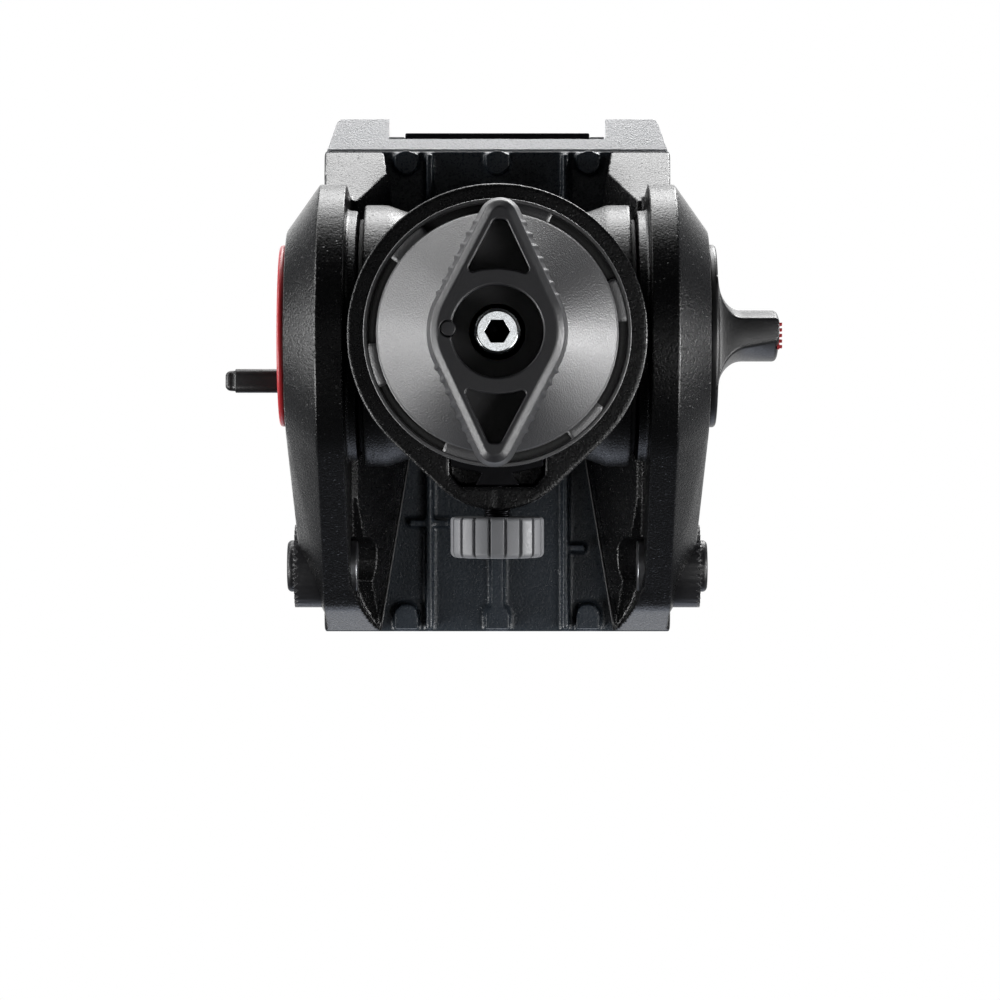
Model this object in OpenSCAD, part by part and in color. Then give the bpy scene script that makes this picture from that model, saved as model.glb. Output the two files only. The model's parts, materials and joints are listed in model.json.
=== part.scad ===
/* [Half ball] */
// Radius of the half ball that sits in the tripod's bowl
ball_r = 37.5; // [36.5:0.5:40]
// Depth of the half ball below its centre
ball_depth = 24; // [20:0.5:27]
// Height of the straight rim above the ball's centre
ball_rim_h = 3; // [2:0.5:5]
// Radius of the hollow under the half ball
ball_hollow_r = 22; // [20:0.5:24]
// Thickness of the web between the hollow and the base plate
ball_web = 11; // [8:0.5:14]
// Radius of the circle that the base screws stand on
base_screw_circle = 15; // [12:0.5:16.5]

/* [Bowl clamp] */
// Radius of the clamp stud
stud_r = 5; // [4:0.5:6]
// Gap between the half ball and the clamp ring
clamp_gap = 0.6; // [0.4:0.1:2]
// Radius of the slotted clamp ring
ring_r = 38.6; // [37:0.2:40]
// Thickness of the clamp ring
ring_h = 3; // [2:0.5:4]
// Number of arc slots in the clamp ring
slot_count = 6; // [3:1:7]
// Angle that each arc slot covers
slot_arc = 40; // [20:2:44]
// Width of the arc slots
slot_w = 1.6; // [1:0.2:2.4]
// Rise of the ring's flange outside the bell
flange_h = 1.5; // [0.5:0.1:1.8]
// Radius of the bell at its rim
bell_r = 34.5; // [32:0.5:34.5]
// Radius of the bell at its small end
bell_end_r = 16; // [15.5:0.5:20]
// Height of the bell's cone
bell_h = 20; // [16:0.5:24]
// Height of the straight lip above the cone
bell_lip = 2; // [1:0.5:4]
// Wall of the bell
bell_wall = 3; // [2:0.5:4]
// Height of the wing handle below the bell
handle_h = 16; // [13:0.5:20]
// Angle that the wing handle rests at
handle_angle = 1.4; // [-5:0.1:5]
// Half of the wing handle's length
handle_reach = 36.8; // [32:0.2:40]
// Radius of the wing handle at its waist
handle_waist_r = 18.9; // [17.5:0.1:22]
// Radius of the wing handle's tips
handle_tip_r = 4.7; // [3.5:0.1:6]
// Distance that the handle's sides spread towards the bell
handle_draft = 1.5; // [0:0.5:3]
// Radius of the round recess in the handle
recess_r = 12.9; // [10.5:0.1:14]
// Depth of the round recess in the handle
recess_depth = 21.5; // [19:0.5:23]
// Radius of the threaded insert in the handle
insert_r = 8; // [7:0.5:9]
// Head radius of the stop screw under the stud
stop_head_r = 6.5; // [5.5:0.5:7.5]
// Head height of the stop screw
stop_head_h = 8; // [6:0.5:9]
// How far the clamp can open before it meets the stop screw
clamp_travel = 9; // [6:0.5:9]

/* [Pan base] */
// Radius of the base plate
base_r = 34; // [33:0.5:36]
// Thickness of the base plate
base_h = 5; // [4:0.5:7]
// Radius of the pan drag ring
drag_ring_r = 38.2; // [37.5:0.1:39]
// Radius of the pan brake drum
drum_r = 33.5; // [32:0.5:34]
// Height of the pan brake drum
drum_h = 10.5; // [9:0.5:12]
// Radius of the pan spindle's flange
spindle_flange_r = 22; // [21:0.5:24]
// Thickness of the pan spindle's flange
spindle_flange_h = 3; // [2.5:0.5:4]
// Radius of the pan spindle below its bearing
spindle_r = 14; // [13:0.5:15]
// Radius of the pan spindle in its bearing
journal_r = 12; // [10:0.5:12.5]
// Outer radius of the pan bearing
pan_bearing_r = 19; // [17:0.5:20]
// Height of the pan bearing
pan_bearing_h = 6; // [5:0.5:6.5]
// Radius of the spindle nut
nut_r = 15; // [14:0.5:16]
// Height of the spindle nut
nut_h = 3.5; // [2.5:0.5:4]

/* [Pan body] */
// Radius of the round collar
collar_r = 44.4; // [42:0.2:45]
// Radius of the collar's rear nose
nose_r = 24.7; // [20:0.1:28]
// Distance of the nose's centre behind the pan axis
nose_y = 27.2; // [24:0.2:31]
// Height of the collar
collar_h = 12; // [10:0.5:13]
// Height of the neck that joins the collar to the barrel
neck_h = 26; // [20:0.5:30]
// Radius of the neck where it meets the barrel
neck_r = 33; // [28:0.5:36]
// Height of the tilt axis above the collar's underside
tilt_rise = 56; // [55:0.5:62]
// Radius of the barrel's end rings
barrel_r = 40; // [38:0.5:41]
// Half length of the barrel
barrel_half = 40.4; // [40:0.2:42]
// Width of the barrel's end rings
barrel_ring_w = 7; // [5:0.5:10]
// Radius of the barrel between its end rings
barrel_waist_r = 37.5; // [35:0.5:39]
// Radius of the bore through the barrel
barrel_bore_r = 31; // [28:0.5:31.5]
// Radius of the level that is let into the nose
level_r = 6.6; // [5:0.2:7.5]
// Height of the level
level_h = 4; // [3:0.5:5]

/* [Pan lock] */
// Height of the pan lock screw above the collar's underside
lock_rise = 4.5; // [4.2:0.1:4.8]
// Radius of the pan lock screw
lock_screw_r = 4; // [3:0.5:4]
// Radius of the pan lock knob
lock_knob_r = 13.8; // [11:0.2:15]
// Length of the pan lock knob
lock_knob_l = 11.9; // [9:0.1:14]
// Gap between the nose and the pan lock knob
lock_knob_gap = 2.1; // [1.5:0.1:4]
// Number of flutes on the pan lock knob
lock_flutes = 18; // [10:2:22]
// Width of the pocket that holds the brake shoe
pocket_w = 28.2; // [24:0.2:30]
// Distance of the pocket's back from the pan axis
pocket_back = 45; // [43:0.5:46]
// Gap between the brake shoe and the drum
shoe_gap = 0.7; // [0.6:0.1:1.2]

/* [Tilt axle] */
// Radius of the tilt shaft
shaft_r = 9; // [8:0.5:10]
// Outer radius of the tilt bearings
tilt_bearing_r = 14; // [13:0.5:16]
// Width of the tilt bearings and their caps
tilt_bearing_w = 6; // [5:0.5:8]
// Outer radius of the friction seals
seal_r = 35.6; // [33:0.2:37]
// Thickness of the friction seals
seal_h = 1.5; // [1:0.1:1.6]
// Wall of the tilt drag drum
drag_wall = 3; // [2:0.5:4]
// Mean radius of the counterbalance spring
spring_r = 20; // [18.5:0.5:26]
// Radius of the counterbalance spring's wire
spring_wire_r = 1.8; // [1.2:0.1:2]
// Number of turns of the counterbalance spring
spring_turns = 5; // [3:1:5]

/* [Cradle arms] */
// Height of the hub on each arm's inner face
arm_hub_h = 3.4; // [2.6:0.1:4.6]
// Width of the arms' flat rim band
arm_band_w = 8.2; // [7:0.1:10]
// Width of the arms from their inner to their outer faces
arm_w = 18.4; // [17.5:0.1:21]
// Radius of the arms about the tilt axis
arm_r = 46.4; // [44:0.1:47]
// Radius of the arms' outer faces
arm_face_r = 32; // [29:0.5:34]
// Radius of the hub on the inner side of each arm
hub_r = 38.3; // [36:0.1:39]
// Gap between each arm's hub and the friction seal
hub_gap = 0.6; // [0.4:0.1:1]
// Radius of the pocket in each arm for its control
control_pocket_r = 26; // [24:0.5:27]
// Depth of the pocket in each arm for its control
control_pocket_h = 7.7; // [6:0.1:8.5]
// Distance of the rosettes behind the tilt axis
rosette_back = 72; // [68:0.5:74]
// Height of the rosettes above the tilt axis
rosette_rise = 38; // [34:0.5:40]
// Radius of the rosettes
rosette_r = 13; // [11:0.5:14]
// Number of teeth round each rosette
rosette_teeth = 32; // [20:2:40]
// Height of the rosette teeth
tooth_h = 1; // [0.6:0.1:1.4]
// Height of the rosettes from their seats to the tips of the teeth
rosette_h = 8.5; // [6.6:0.1:9]
// Radius of the pilot boss in the middle of each rosette
pilot_r = 8.1; // [6.5:0.1:9]
// Height of the pilot boss above the teeth
pilot_h = 2.4; // [1:0.1:3]
// Radius of the threaded hole in each rosette
rosette_hole_r = 4; // [3:0.5:5]
// Head radius of the bolts that hold the rosettes
rosette_bolt_r = 8; // [7:0.5:9]

/* [Deck] */
// Height of the deck's underside above the tilt axis
deck_rise = 57; // [57:0.5:62]
// Half width of the deck
deck_half = 55.1; // [54:0.1:57]
// Distance of the deck's front edge from the tilt axis
deck_front = 59.4; // [55:0.2:62]
// Distance of the deck's rear edge from the tilt axis
deck_rear = 93.6; // [92:0.2:98]
// Thickness of the deck
deck_h = 5; // [4:0.5:7]
// Depth of the ribs under the deck
rib_h = 5; // [3:0.5:5]
// Thickness of the long ribs
rib_w = 2; // [1.5:0.1:3]
// Distance of the long ribs from the middle
rib_x = 21.6; // [18:0.2:23]
// Radius of the screw bosses under the deck
boss_r = 3.8; // [3:0.1:4.5]

/* [Plate holder] */
// Height of the holder's floor above the deck
holder_floor_h = 7; // [5:0.5:9]
// Height of the rails above the holder's floor
rail_h = 6; // [5.6:0.2:8]
// Distance of the holder's sides inside the deck's sides
holder_inset = 0.5; // [0.5:0.1:4]
// Half width of the channel between the rails
channel_half = 34.8; // [33.5:0.1:36]
// Distance of the crossbar's front edge from the tilt axis
crossbar_front = 63.9; // [62:0.1:66]
// Distance of the rails' tips from the tilt axis
horn_front = 70.7; // [68:0.1:74]
// Distance that the rails narrow at their tips
horn_taper = 3.3; // [1:0.1:5]
// Radius of the outer corners at the rails' tips
horn_round = 2; // [1:0.5:4]
// Height of the sloped chin under the rails' tips
chin_h = 12.5; // [8:0.5:12.5]

/* [Camera plate] */
// Length of the camera plate
plate_l = 140; // [110:1:144]
// Half width of the camera plate
plate_half = 29.6; // [28:0.1:30]
// Distance of the plate's front end from the tilt axis
plate_front = 66; // [60:0.5:70]
// Thickness of the camera plate
plate_h = 9.7; // [9:0.1:12]
// Depth of the dovetail along the plate's sides
dovetail = 3; // [2:0.2:4]
// Thickness of the rubber pads on the plate
pad_h = 1; // [0.6:0.1:2]
// Radius of the camera screws' thread
camera_screw_r = 3.175; // [3.175:0.005:4.765]
// Height of the camera screws above the plate's pads
camera_screw_h = 5; // [4:0.5:7]
// Head radius of the camera screws
camera_head_r = 7; // [6:0.5:8]
// Half length of the slot that the camera screws slide in
slot_half = 44; // [38:1:48]
// Distance of each camera screw from the slot's middle
camera_screw_y = 22; // [20:1:24]

/* [Plate lock] */
// Radius of the plate lock's spindle
lever_spindle_r = 3.5; // [3:0.5:4]
// Length of the plate lock lever
lever_l = 36; // [28:1:44]
// Thickness of the plate lock lever
lever_t = 5; // [4:0.5:6]
// Distance of the release button in front of the lever's spindle
button_ahead = 30; // [24:1:36]
// Radius of the release button
button_r = 4; // [3:0.2:4.4]
// How far the release button stands out
button_out = 3; // [2.4:0.1:4]

/* [Side controls] */
// Radius of the counterbalance dial's red cap
dial_r = 27.8; // [27.5:0.1:29.5]
// Height of the red cap above the arm
dial_h = 2.9; // [1.5:0.1:4]
// Distance of the dial's tab end from the middle
tab_out = 83.2; // [76:0.2:88]
// Thickness of the dial's tab
tab_t = 7.3; // [5:0.1:8]
// Distance of the dial's tab behind the tilt axis
tab_back = 13.8; // [8:0.2:16]
// Radius of the tilt lock lever's hub disc
lever_disc_r = 28; // [27:0.1:29]
// Thickness of the tilt lock lever's hub disc
lever_disc_h = 2.4; // [1.4:0.1:3]
// Distance of the tilt lock lever's end from the middle
grip_out = 85.4; // [80:0.1:90]
// Thickness of the tilt lock lever's grip
grip_t = 15.7; // [12:0.1:18]
// Length of the tilt lock lever's grip at its outer end
grip_l = 36; // [30:1:40]
// Thickness of the red inlay on the grip
inlay_h = 1; // [0.6:0.1:1.4]

/* [Hidden] */
$fn = 96;
soft_fn = 32;
fit = 0.05;
run = 0.3;
slack = 0.4;

// Levels along the pan axis, from the half ball's centre
web_z = ball_rim_h - ball_web;
ring_top_z = -ball_depth - clamp_gap;
ring_z = ring_top_z - ring_h;
bell_rim_z = ring_z - slack;
cone_z = bell_rim_z - bell_lip;
bell_end_z = cone_z - bell_h;
handle_z = bell_end_z - handle_h;
handle_top_z = cone_z - bell_h / 2;
recess_z = handle_z + recess_depth;
slot_floor = 0.8;
slot_rim = 0.7;
slot_land = 0.3;
slot_first = 15;
stop_z = recess_z - clamp_travel - slack;
base_z = ball_rim_h + base_h;
drum_z = base_z + drum_h;
cavity_z = drum_z + 1;
bearing_z = cavity_z + run;
nut_z = bearing_z + pan_bearing_h;
nut_top_z = nut_z + nut_h;
cavity_r = drum_r + 2.5;
lock_z = base_z + lock_rise;
tilt_z = base_z + tilt_rise;

// Base screws
base_screw_r = 2.5;
base_screw_head_r = 4.25;
base_screw_head_h = 4;

// Pan body
nose_end = nose_y + nose_r;
nose_angle = acos((collar_r - nose_r) / nose_y);
nose_h = lock_rise + lock_screw_r + level_h + 2;
level_y = nose_end - level_r - 2;
level_z = base_z + nose_h - level_h;
pocket_h = lock_rise + lock_screw_r + slack;
shoe_back = pocket_back - slack;
shoe_h = pocket_h - 2 * slack;
knob_front = nose_end + lock_knob_gap;

// Tilt axle
cap_in = barrel_half - tilt_bearing_w;
hub_x = barrel_half + seal_h + hub_gap;
arm_in = hub_x + arm_hub_h;
arm_out = arm_in + arm_w;
arm_band_x = arm_in + arm_band_w;
control_x = arm_out - control_pocket_h;
shaft_half = control_x - 4;
shaft_screw_r = 3;
shaft_head_r = 5.2;
axle_gap = 4;
drag_disc_count = 3;
drum_len = cap_in - axle_gap;
disc_step = drum_len / (2 * drag_disc_count + 1);
spring_end = cap_in - run;
sleeve_r = spring_r - spring_wire_r - 2;

// Arms and deck
deck_z = tilt_z + deck_rise;
deck_top_z = deck_z + deck_h;
tail_back = rosette_back - 2;
tail_r = 17;
tail_face_r = 5;
tail_out = arm_out - 2.8;
cheek_h = 1;
cheek_front_x = 36.2;
cheek_corner = [34.8, 52];
cheek_corner_drop = 11;
cheek_middle_x = 25;
cheek_middle_y = -20;
cheek_rear_x = 37.2;
cheek_foot_x = 43.8;
cheek_foot_front = 42.5;
cheek_foot_rear = -50;
cheek_foot_drop = 29;
rosette_seat = arm_band_x + 1;
rosette_out = rosette_seat + rosette_h;
bolt_head_h = 4;
bolt_shank_r = 5;
bolt_end = rosette_seat + 3;
arm_screw_r = 2.5;
arm_screw_head_r = 4.5;
arm_screw_head_h = 3;
arm_screw_l = 10;
arm_screw_x = deck_half - 8;
arm_screw_ys = [40, -30, -80];
boss_front_y = deck_front - 3.6;
boss_rear_y = -(deck_rear - 5.2);
boss_xs = [-29, 0, 29];
holder_screw_r = 1.6;
holder_screw_head_r = 3.2;
holder_screw_head_h = 2;

// Plate holder and camera plate
holder_half = deck_half - holder_inset;
chin_y = deck_front + 1;
floor_z = deck_top_z + holder_floor_h;
rail_z = floor_z + rail_h;
plate_z = floor_z + run;
plate_top_z = plate_z + plate_h;
pad_z = plate_top_z + pad_h;
plate_mid_y = plate_front - plate_l / 2;
dovetail_low_z = plate_z + 2.2;
dovetail_top_z = plate_z + 5.6;
guide_gap = 0.4;
gib_travel = 0.4;
lever_z = floor_z;
button_y = button_ahead;
button_depth = 6;
button_travel = 2;
screw_slot_w = 2 * camera_screw_r + 0.6;
head_slot_w = 2 * camera_head_r + 0.6;
camera_head_h = 3.4;
camera_neck = 0.3;
camera_head_z = plate_z + 0.8;
head_slot_z = camera_head_z + camera_head_h + 0.2;

// Inlay in the end of the tilt lock lever
inlay_half = grip_t * 0.27;
inlay_l = grip_l * 0.83;
inlay_seat = 0.6;

// Brake pad in the right arm
brake_pad_r = 5;
brake_pad_drop = 18;

// A cone's flank from its wide end to its small end, in radius and height
function flank_points(wide_r, end_r, high, top_z) = [[wide_r, top_z], [end_r, top_z - high]];

function reversed(list) = [for (i = [len(list) - 1:-1:0]) list[i]];

// A cylinder along X about the tilt axis, offset by y and z from that axis
module axle(r, x0, x1, y = 0, z = 0, r2 = undef) {
    translate([x0, y, tilt_z + z])
        rotate([0, 90, 0])
            cylinder(h = x1 - x0, r1 = r, r2 = is_undef(r2) ? r : r2);
}

// A hollow ring along X about the tilt axis
module axle_ring(r_out, r_in, x0, x1) {
    difference() {
        axle(r_out, x0, x1);
        axle(r_in, x0 - 1, x1 + 1);
    }
}

// A hollow ring along Z
module ring(r_out, r_in, z0, z1) {
    translate([0, 0, z0])
        difference() {
            cylinder(h = z1 - z0, r = r_out);
            translate([0, 0, -1])
                cylinder(h = z1 - z0 + 2, r = r_in);
        }
}

// A cylinder along Z between two heights
module post(r, z0, z1, x = 0, y = 0) {
    translate([x, y, z0])
        cylinder(h = z1 - z0, r = r);
}

// A block between two corners
module block(low, high) {
    translate(low)
        cube(high - low);
}

// What is drawn for the left, and its mirror image for the right
module both_sides() {
    children();
    mirror([1, 0, 0]) children();
}

module base_screw_places() {
    for (a = [45:90:315])
        rotate([0, 0, a])
            translate([base_screw_circle, 0, 0])
                children();
}

module base_screw_holes() {
    base_screw_places()
        post(base_screw_r + fit, web_z - 1, base_z + spindle_flange_h - 0.5);
}

module half_ball() {
    color("#3a3a3c")
        difference() {
            union() {
                intersection() {
                    sphere(r = ball_r);
                    post(ball_r + 1, -ball_depth, 0);
                }
                post(ball_r, 0, ball_rim_h);
            }
            post(ball_hollow_r, -ball_depth - 1, web_z);
            post(stud_r + run, -ball_depth - 1, ball_rim_h + 1);
            base_screw_holes();
        }
}

module base_plate() {
    color("#2b2b2d")
        difference() {
            post(base_r, ball_rim_h, base_z);
            post(stud_r + fit, ball_rim_h - 1, base_z + 1);
            base_screw_holes();
        }
}

module pan_drum() {
    color("#77787a")
        ring(drum_r, spindle_flange_r + fit, base_z, drum_z);
}

module pan_spindle() {
    color("#8c8d90")
        difference() {
            union() {
                post(spindle_flange_r, base_z, base_z + spindle_flange_h);
                post(spindle_r, base_z, bearing_z);
                post(journal_r, bearing_z, nut_top_z);
            }
            base_screw_holes();
        }
}

module spindle_nut() {
    color("#9a9a9c")
        ring(nut_r, journal_r + fit, nut_z, nut_top_z);
}

module clamp_stud() {
    color("#8f9092")
        post(stud_r, stop_z, base_z);
}

// Socket-head stop screw under the end of the stud
module stop_screw() {
    socket_r = stop_head_r * 0.533;
    color("#c9cacc")
        difference() {
            post(stop_head_r, stop_z - stop_head_h, stop_z);
            translate([0, 0, stop_z - stop_head_h - 1])
                cylinder(h = stop_head_h * 0.5 + 1, r = socket_r, $fn = 6);
        }
}

module base_screws() {
    color("#6f7073")
        base_screw_places() {
            post(base_screw_r, web_z, base_z + spindle_flange_h - 0.5);
            post(base_screw_head_r, web_z - base_screw_head_h, web_z);
        }
}

// Flat ring that presses on the bowl, with a row of arc slots
module clamp_ring() {
    slot_in = ring_r - slot_rim - slot_w;
    color("#3c3c3e")
        difference() {
            rotate_extrude()
                polygon([
                    [stud_r + run, ring_z], [bell_r, ring_z],
                    [slot_in - slot_land, ring_z + flange_h], [ring_r, ring_z + flange_h],
                    [ring_r, ring_top_z], [stud_r + run, ring_top_z]
                ]);
            for (i = [0:slot_count - 1])
                rotate([0, 0, slot_first + 360 / slot_count * i - slot_arc / 2])
                    translate([0, 0, ring_z - 1])
                        rotate_extrude(angle = slot_arc)
                            translate([slot_in, 0])
                                square([slot_w, ring_h + 1 - slot_floor]);
        }
}

module clamp_bell() {
    color("#4a4a4c")
        rotate_extrude()
            polygon(concat(
                [[bell_r, bell_rim_z]],
                flank_points(bell_r, bell_end_r, bell_h, cone_z),
                reversed(flank_points(bell_r - bell_wall, bell_end_r, bell_h - bell_wall, cone_z)),
                [[bell_r - bell_wall, bell_rim_z]]
            ));
}

// Diamond outline of the wing handle, drafted towards the bell
module handle_wing() {
    tip_y = handle_reach - handle_tip_r;
    high = handle_top_z - handle_z;
    hull()
        for (p = [[0, handle_waist_r], [tip_y, handle_tip_r], [-tip_y, handle_tip_r]])
            translate([0, p[0], handle_z])
                cylinder(h = high, r1 = p[1], r2 = p[1] + handle_draft, $fn = soft_fn);
}

// Three-sided window in each wing of the handle
module handle_window() {
    apex_y = handle_reach - 5.6;
    base_y = recess_r + 2.8;
    base_half = 9.4;
    translate([0, 0, handle_z - 1])
        linear_extrude(handle_h - 1)
            polygon([[-1.6, apex_y], [1.6, apex_y], [base_half, base_y], [-base_half, base_y]]);
}

module clamp_handle() {
    color("#343436")
        difference() {
            union() {
                difference() {
                    rotate([0, 0, handle_angle])
                        handle_wing();
                    rotate_extrude()
                        polygon(concat(
                            [[0, bell_rim_z], [bell_r + fit, bell_rim_z]],
                            flank_points(bell_r + fit, bell_end_r, bell_h + fit, cone_z),
                            [[0, bell_end_z - fit]]
                        ));
                }
                post(bell_end_r - fit, bell_end_z - 1, ring_z);
            }
            post(recess_r, handle_z - 1, recess_z);
            post(insert_r + fit, recess_z - 1, ring_z + 1);
            for (side = [0, 180])
                rotate([0, 0, handle_angle + side])
                    handle_window();
        }
}

module handle_insert() {
    color("#b39a5c")
        ring(insert_r, stud_r + fit, recess_z, ring_z);
}

module pan_drag_ring() {
    grip_count = 60;
    color("#2c2c2e")
        difference() {
            ring(drag_ring_r, base_r + run, ball_rim_h + slack, base_z - slack);
            for (i = [0:grip_count - 1])
                rotate([0, 0, 360 / grip_count * i])
                    post(0.6, ball_rim_h, base_z, x = drag_ring_r + 0.15);
        }
}

// Egg-shaped outline of the collar: two circles and the tangents that join them
module collar_outline() {
    wide = [collar_r * sin(nose_angle), -collar_r * cos(nose_angle)];
    narrow = [nose_r * sin(nose_angle), -nose_y - nose_r * cos(nose_angle)];
    circle(r = collar_r);
    translate([0, -nose_y])
        circle(r = nose_r);
    polygon([wide, narrow, [-narrow[0], narrow[1]], [-wide[0], wide[1]]]);
}

// Pocket under the nose that guides the brake shoe
module shoe_pocket() {
    half = pocket_w / 2;
    translate([0, 0, base_z - 1])
        linear_extrude(pocket_h + 1)
            polygon([
                [half, -cavity_r + 8], [half, -pocket_back + 3.5], [half - 3, -pocket_back],
                [3 - half, -pocket_back], [-half, -pocket_back + 3.5], [-half, -cavity_r + 8]
            ]);
}

module barrel() {
    waist_x = barrel_half - 2 * barrel_ring_w;
    axle(barrel_waist_r, -barrel_half + 1, barrel_half - 1);
    both_sides() {
        axle(barrel_r, barrel_half - barrel_ring_w, barrel_half);
        axle(barrel_waist_r, waist_x, barrel_half - barrel_ring_w, r2 = barrel_r);
    }
}

module pan_body() {
    color("#262628")
        difference() {
            union() {
                translate([0, 0, base_z])
                    linear_extrude(collar_h)
                        circle(r = collar_r);
                translate([0, 0, base_z])
                    linear_extrude(nose_h)
                        intersection() {
                            collar_outline();
                            translate([-nose_r - 20, -nose_end - 1])
                                square([2 * nose_r + 40, nose_end - 8]);
                        }
                translate([0, 0, base_z + collar_h])
                    cylinder(h = neck_h, r1 = collar_r, r2 = neck_r);
                barrel();
            }
            axle(barrel_bore_r, -barrel_half - 1, barrel_half + 1);
            both_sides()
                axle(hub_r + 1, barrel_half, barrel_half + collar_r);
            post(cavity_r, base_z - 1, cavity_z);
            post(pan_bearing_r + fit, cavity_z - 1, nut_z);
            post(nut_r + 1, nut_z - 1, nut_top_z + 0.7);
            shoe_pocket();
            translate([0, -shoe_back + 1, lock_z])
                rotate([90, 0, 0])
                    cylinder(h = nose_end, r = lock_screw_r + fit);
            post(level_r + fit, level_z, tilt_z, y = -level_y);
        }
}

module pan_bearing() {
    color("#b9babd")
        ring(pan_bearing_r, journal_r + fit, bearing_z, nut_z);
}

module barrel_cap() {
    color("#303032")
        axle_ring(barrel_bore_r - fit, tilt_bearing_r + fit, cap_in, barrel_half);
}

module left_barrel_cap() {
    barrel_cap();
}

module right_barrel_cap() {
    mirror([1, 0, 0]) barrel_cap();
}

module tilt_bearings() {
    color("#b9babd")
        both_sides()
            axle_ring(tilt_bearing_r, shaft_r + fit, cap_in, barrel_half);
}

module friction_seals() {
    color("#1c1c1e")
        both_sides()
            axle_ring(seal_r, tilt_bearing_r + 1, barrel_half, barrel_half + seal_h);
}

// Fixed half of the tilt drag: a drum with inner discs that the rotor's discs run between
module tilt_drag_drum() {
    color("#5c5d60")
        difference() {
            axle(barrel_bore_r - fit, -cap_in, -axle_gap);
            for (i = [0:drag_disc_count])
                axle(barrel_bore_r - drag_wall, -cap_in + 2 * disc_step * i - (i == 0 ? 1 : 0),
                     -cap_in + disc_step * (2 * i + 1) + (i == drag_disc_count ? 1 : 0));
            axle(shaft_r + 5, -barrel_half, 0);
        }
}

module tilt_drag_rotor() {
    color("#7d7e81")
        difference() {
            union() {
                axle(shaft_r + 4, -cap_in + run, -axle_gap - run);
                for (i = [0:drag_disc_count])
                    axle(barrel_bore_r - drag_wall - 1, -cap_in + 2 * disc_step * i + run,
                         -cap_in + disc_step * (2 * i + 1) - run);
            }
            axle(shaft_r + fit, -barrel_half, 0);
        }
}

// Points of the ring of wire at angle a along the spring
function spring_ring(a, x, sides) = [
    for (k = [0:sides - 1])
        let (w = 360 / sides * k, r = spring_r + spring_wire_r * cos(w))
            [x + spring_wire_r * sin(w), r * cos(a), tilt_z + r * sin(a)]
];

// Torsion spring round the tilt shaft, swept as one wire
module counterbalance_spring() {
    sides = 8;
    steps = spring_turns * 16;
    first_x = axle_gap + spring_wire_r + run;
    last_x = spring_end - spring_wire_r;
    rings = [
        for (i = [0:steps])
            spring_ring(360 * spring_turns * i / steps, first_x + (last_x - first_x) * i / steps, sides)
    ];
    points = [for (ring = rings) for (p = ring) p];
    last = len(points);
    ends = [[first_x, spring_r, tilt_z], [last_x, spring_r, tilt_z]];
    walls = [
        for (i = [0:steps - 1]) for (k = [0:sides - 1])
            let (a = i * sides + k, b = i * sides + (k + 1) % sides)
                each [[a, b, b + sides], [a, b + sides, a + sides]]
    ];
    first_cap = [for (k = [0:sides - 1]) [last, (k + 1) % sides, k]];
    last_cap = [
        for (k = [0:sides - 1]) [last + 1, steps * sides + k, steps * sides + (k + 1) % sides]
    ];
    color("#909194")
        polyhedron(points = concat(points, ends), faces = concat(walls, first_cap, last_cap));
}

module spring_sleeve() {
    color("#6a6b6e")
        axle_ring(sleeve_r, shaft_r + fit, axle_gap, spring_end);
}

module level_cup() {
    color("#202022")
        translate([0, -level_y, 0])
            difference() {
                post(level_r, level_z, level_z + level_h + 0.8);
                post(level_r - 1.2, level_z + 1, level_z + level_h + 2);
            }
}

module level_vial() {
    color("#c9d84a")
        post(level_r - 1.2 - fit, level_z + 1, level_z + level_h + 0.4, y = -level_y);
}

// Waisted shoe that presses on the drum
module pan_brake_shoe() {
    half = pocket_w / 2 - slack;
    color("#2a2a2c")
        translate([0, 0, base_z + slack])
            linear_extrude(shoe_h)
                difference() {
                    polygon([
                        [half, -drum_r + 5], [half, -pocket_back + 6], [4.5, -pocket_back + 4],
                        [6.5, -shoe_back], [-6.5, -shoe_back], [-4.5, -pocket_back + 4],
                        [-half, -pocket_back + 6], [-half, -drum_r + 5]
                    ]);
                    circle(r = drum_r + shoe_gap);
                }
}

module pan_lock_screw() {
    color("#a5a29a")
        translate([0, -shoe_back, lock_z])
            rotate([90, 0, 0])
                cylinder(h = knob_front + lock_knob_l * 0.6 - shoe_back, r = lock_screw_r);
}

module pan_lock_knob() {
    groove_r = 0.8;
    color("#6d6e71")
        translate([0, -knob_front, lock_z])
            rotate([90, 0, 0])
                difference() {
                    union() {
                        cylinder(h = lock_knob_l - 1.6, r = lock_knob_r);
                        translate([0, 0, lock_knob_l - 1.6])
                            cylinder(h = 1.6, r1 = lock_knob_r, r2 = lock_knob_r - 1.6);
                    }
                    translate([0, 0, -1])
                        cylinder(h = lock_knob_l * 0.6 + 1, r = lock_screw_r + fit);
                    for (i = [0:lock_flutes - 1])
                        rotate([0, 0, 360 / lock_flutes * i])
                            translate([lock_knob_r + groove_r * 0.4, 0, -1])
                                cylinder(h = lock_knob_l + 2, r = groove_r);
                }
}

// Plan outline of the cheek that carries the deck on an arm
module cheek_outline() {
    polygon([
        [deck_half, deck_front - run], [cheek_front_x, deck_front - run],
        [cheek_middle_x, cheek_middle_y], [cheek_rear_x, -deck_rear + run],
        [deck_half, -deck_rear + run]
    ]);
}

// Flat round band of an arm, from the tilt axis up to the deck
module arm_band() {
    hull() {
        axle(arm_r, arm_in, arm_band_x, $fn = 2 * soft_fn);
        axle(tail_r, arm_in, arm_band_x, -tail_back, rosette_rise, $fn = soft_fn);
        block([arm_in, -deck_rear + run, deck_z - cheek_h], [arm_band_x, arm_r - 4, deck_z]);
    }
}

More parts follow.
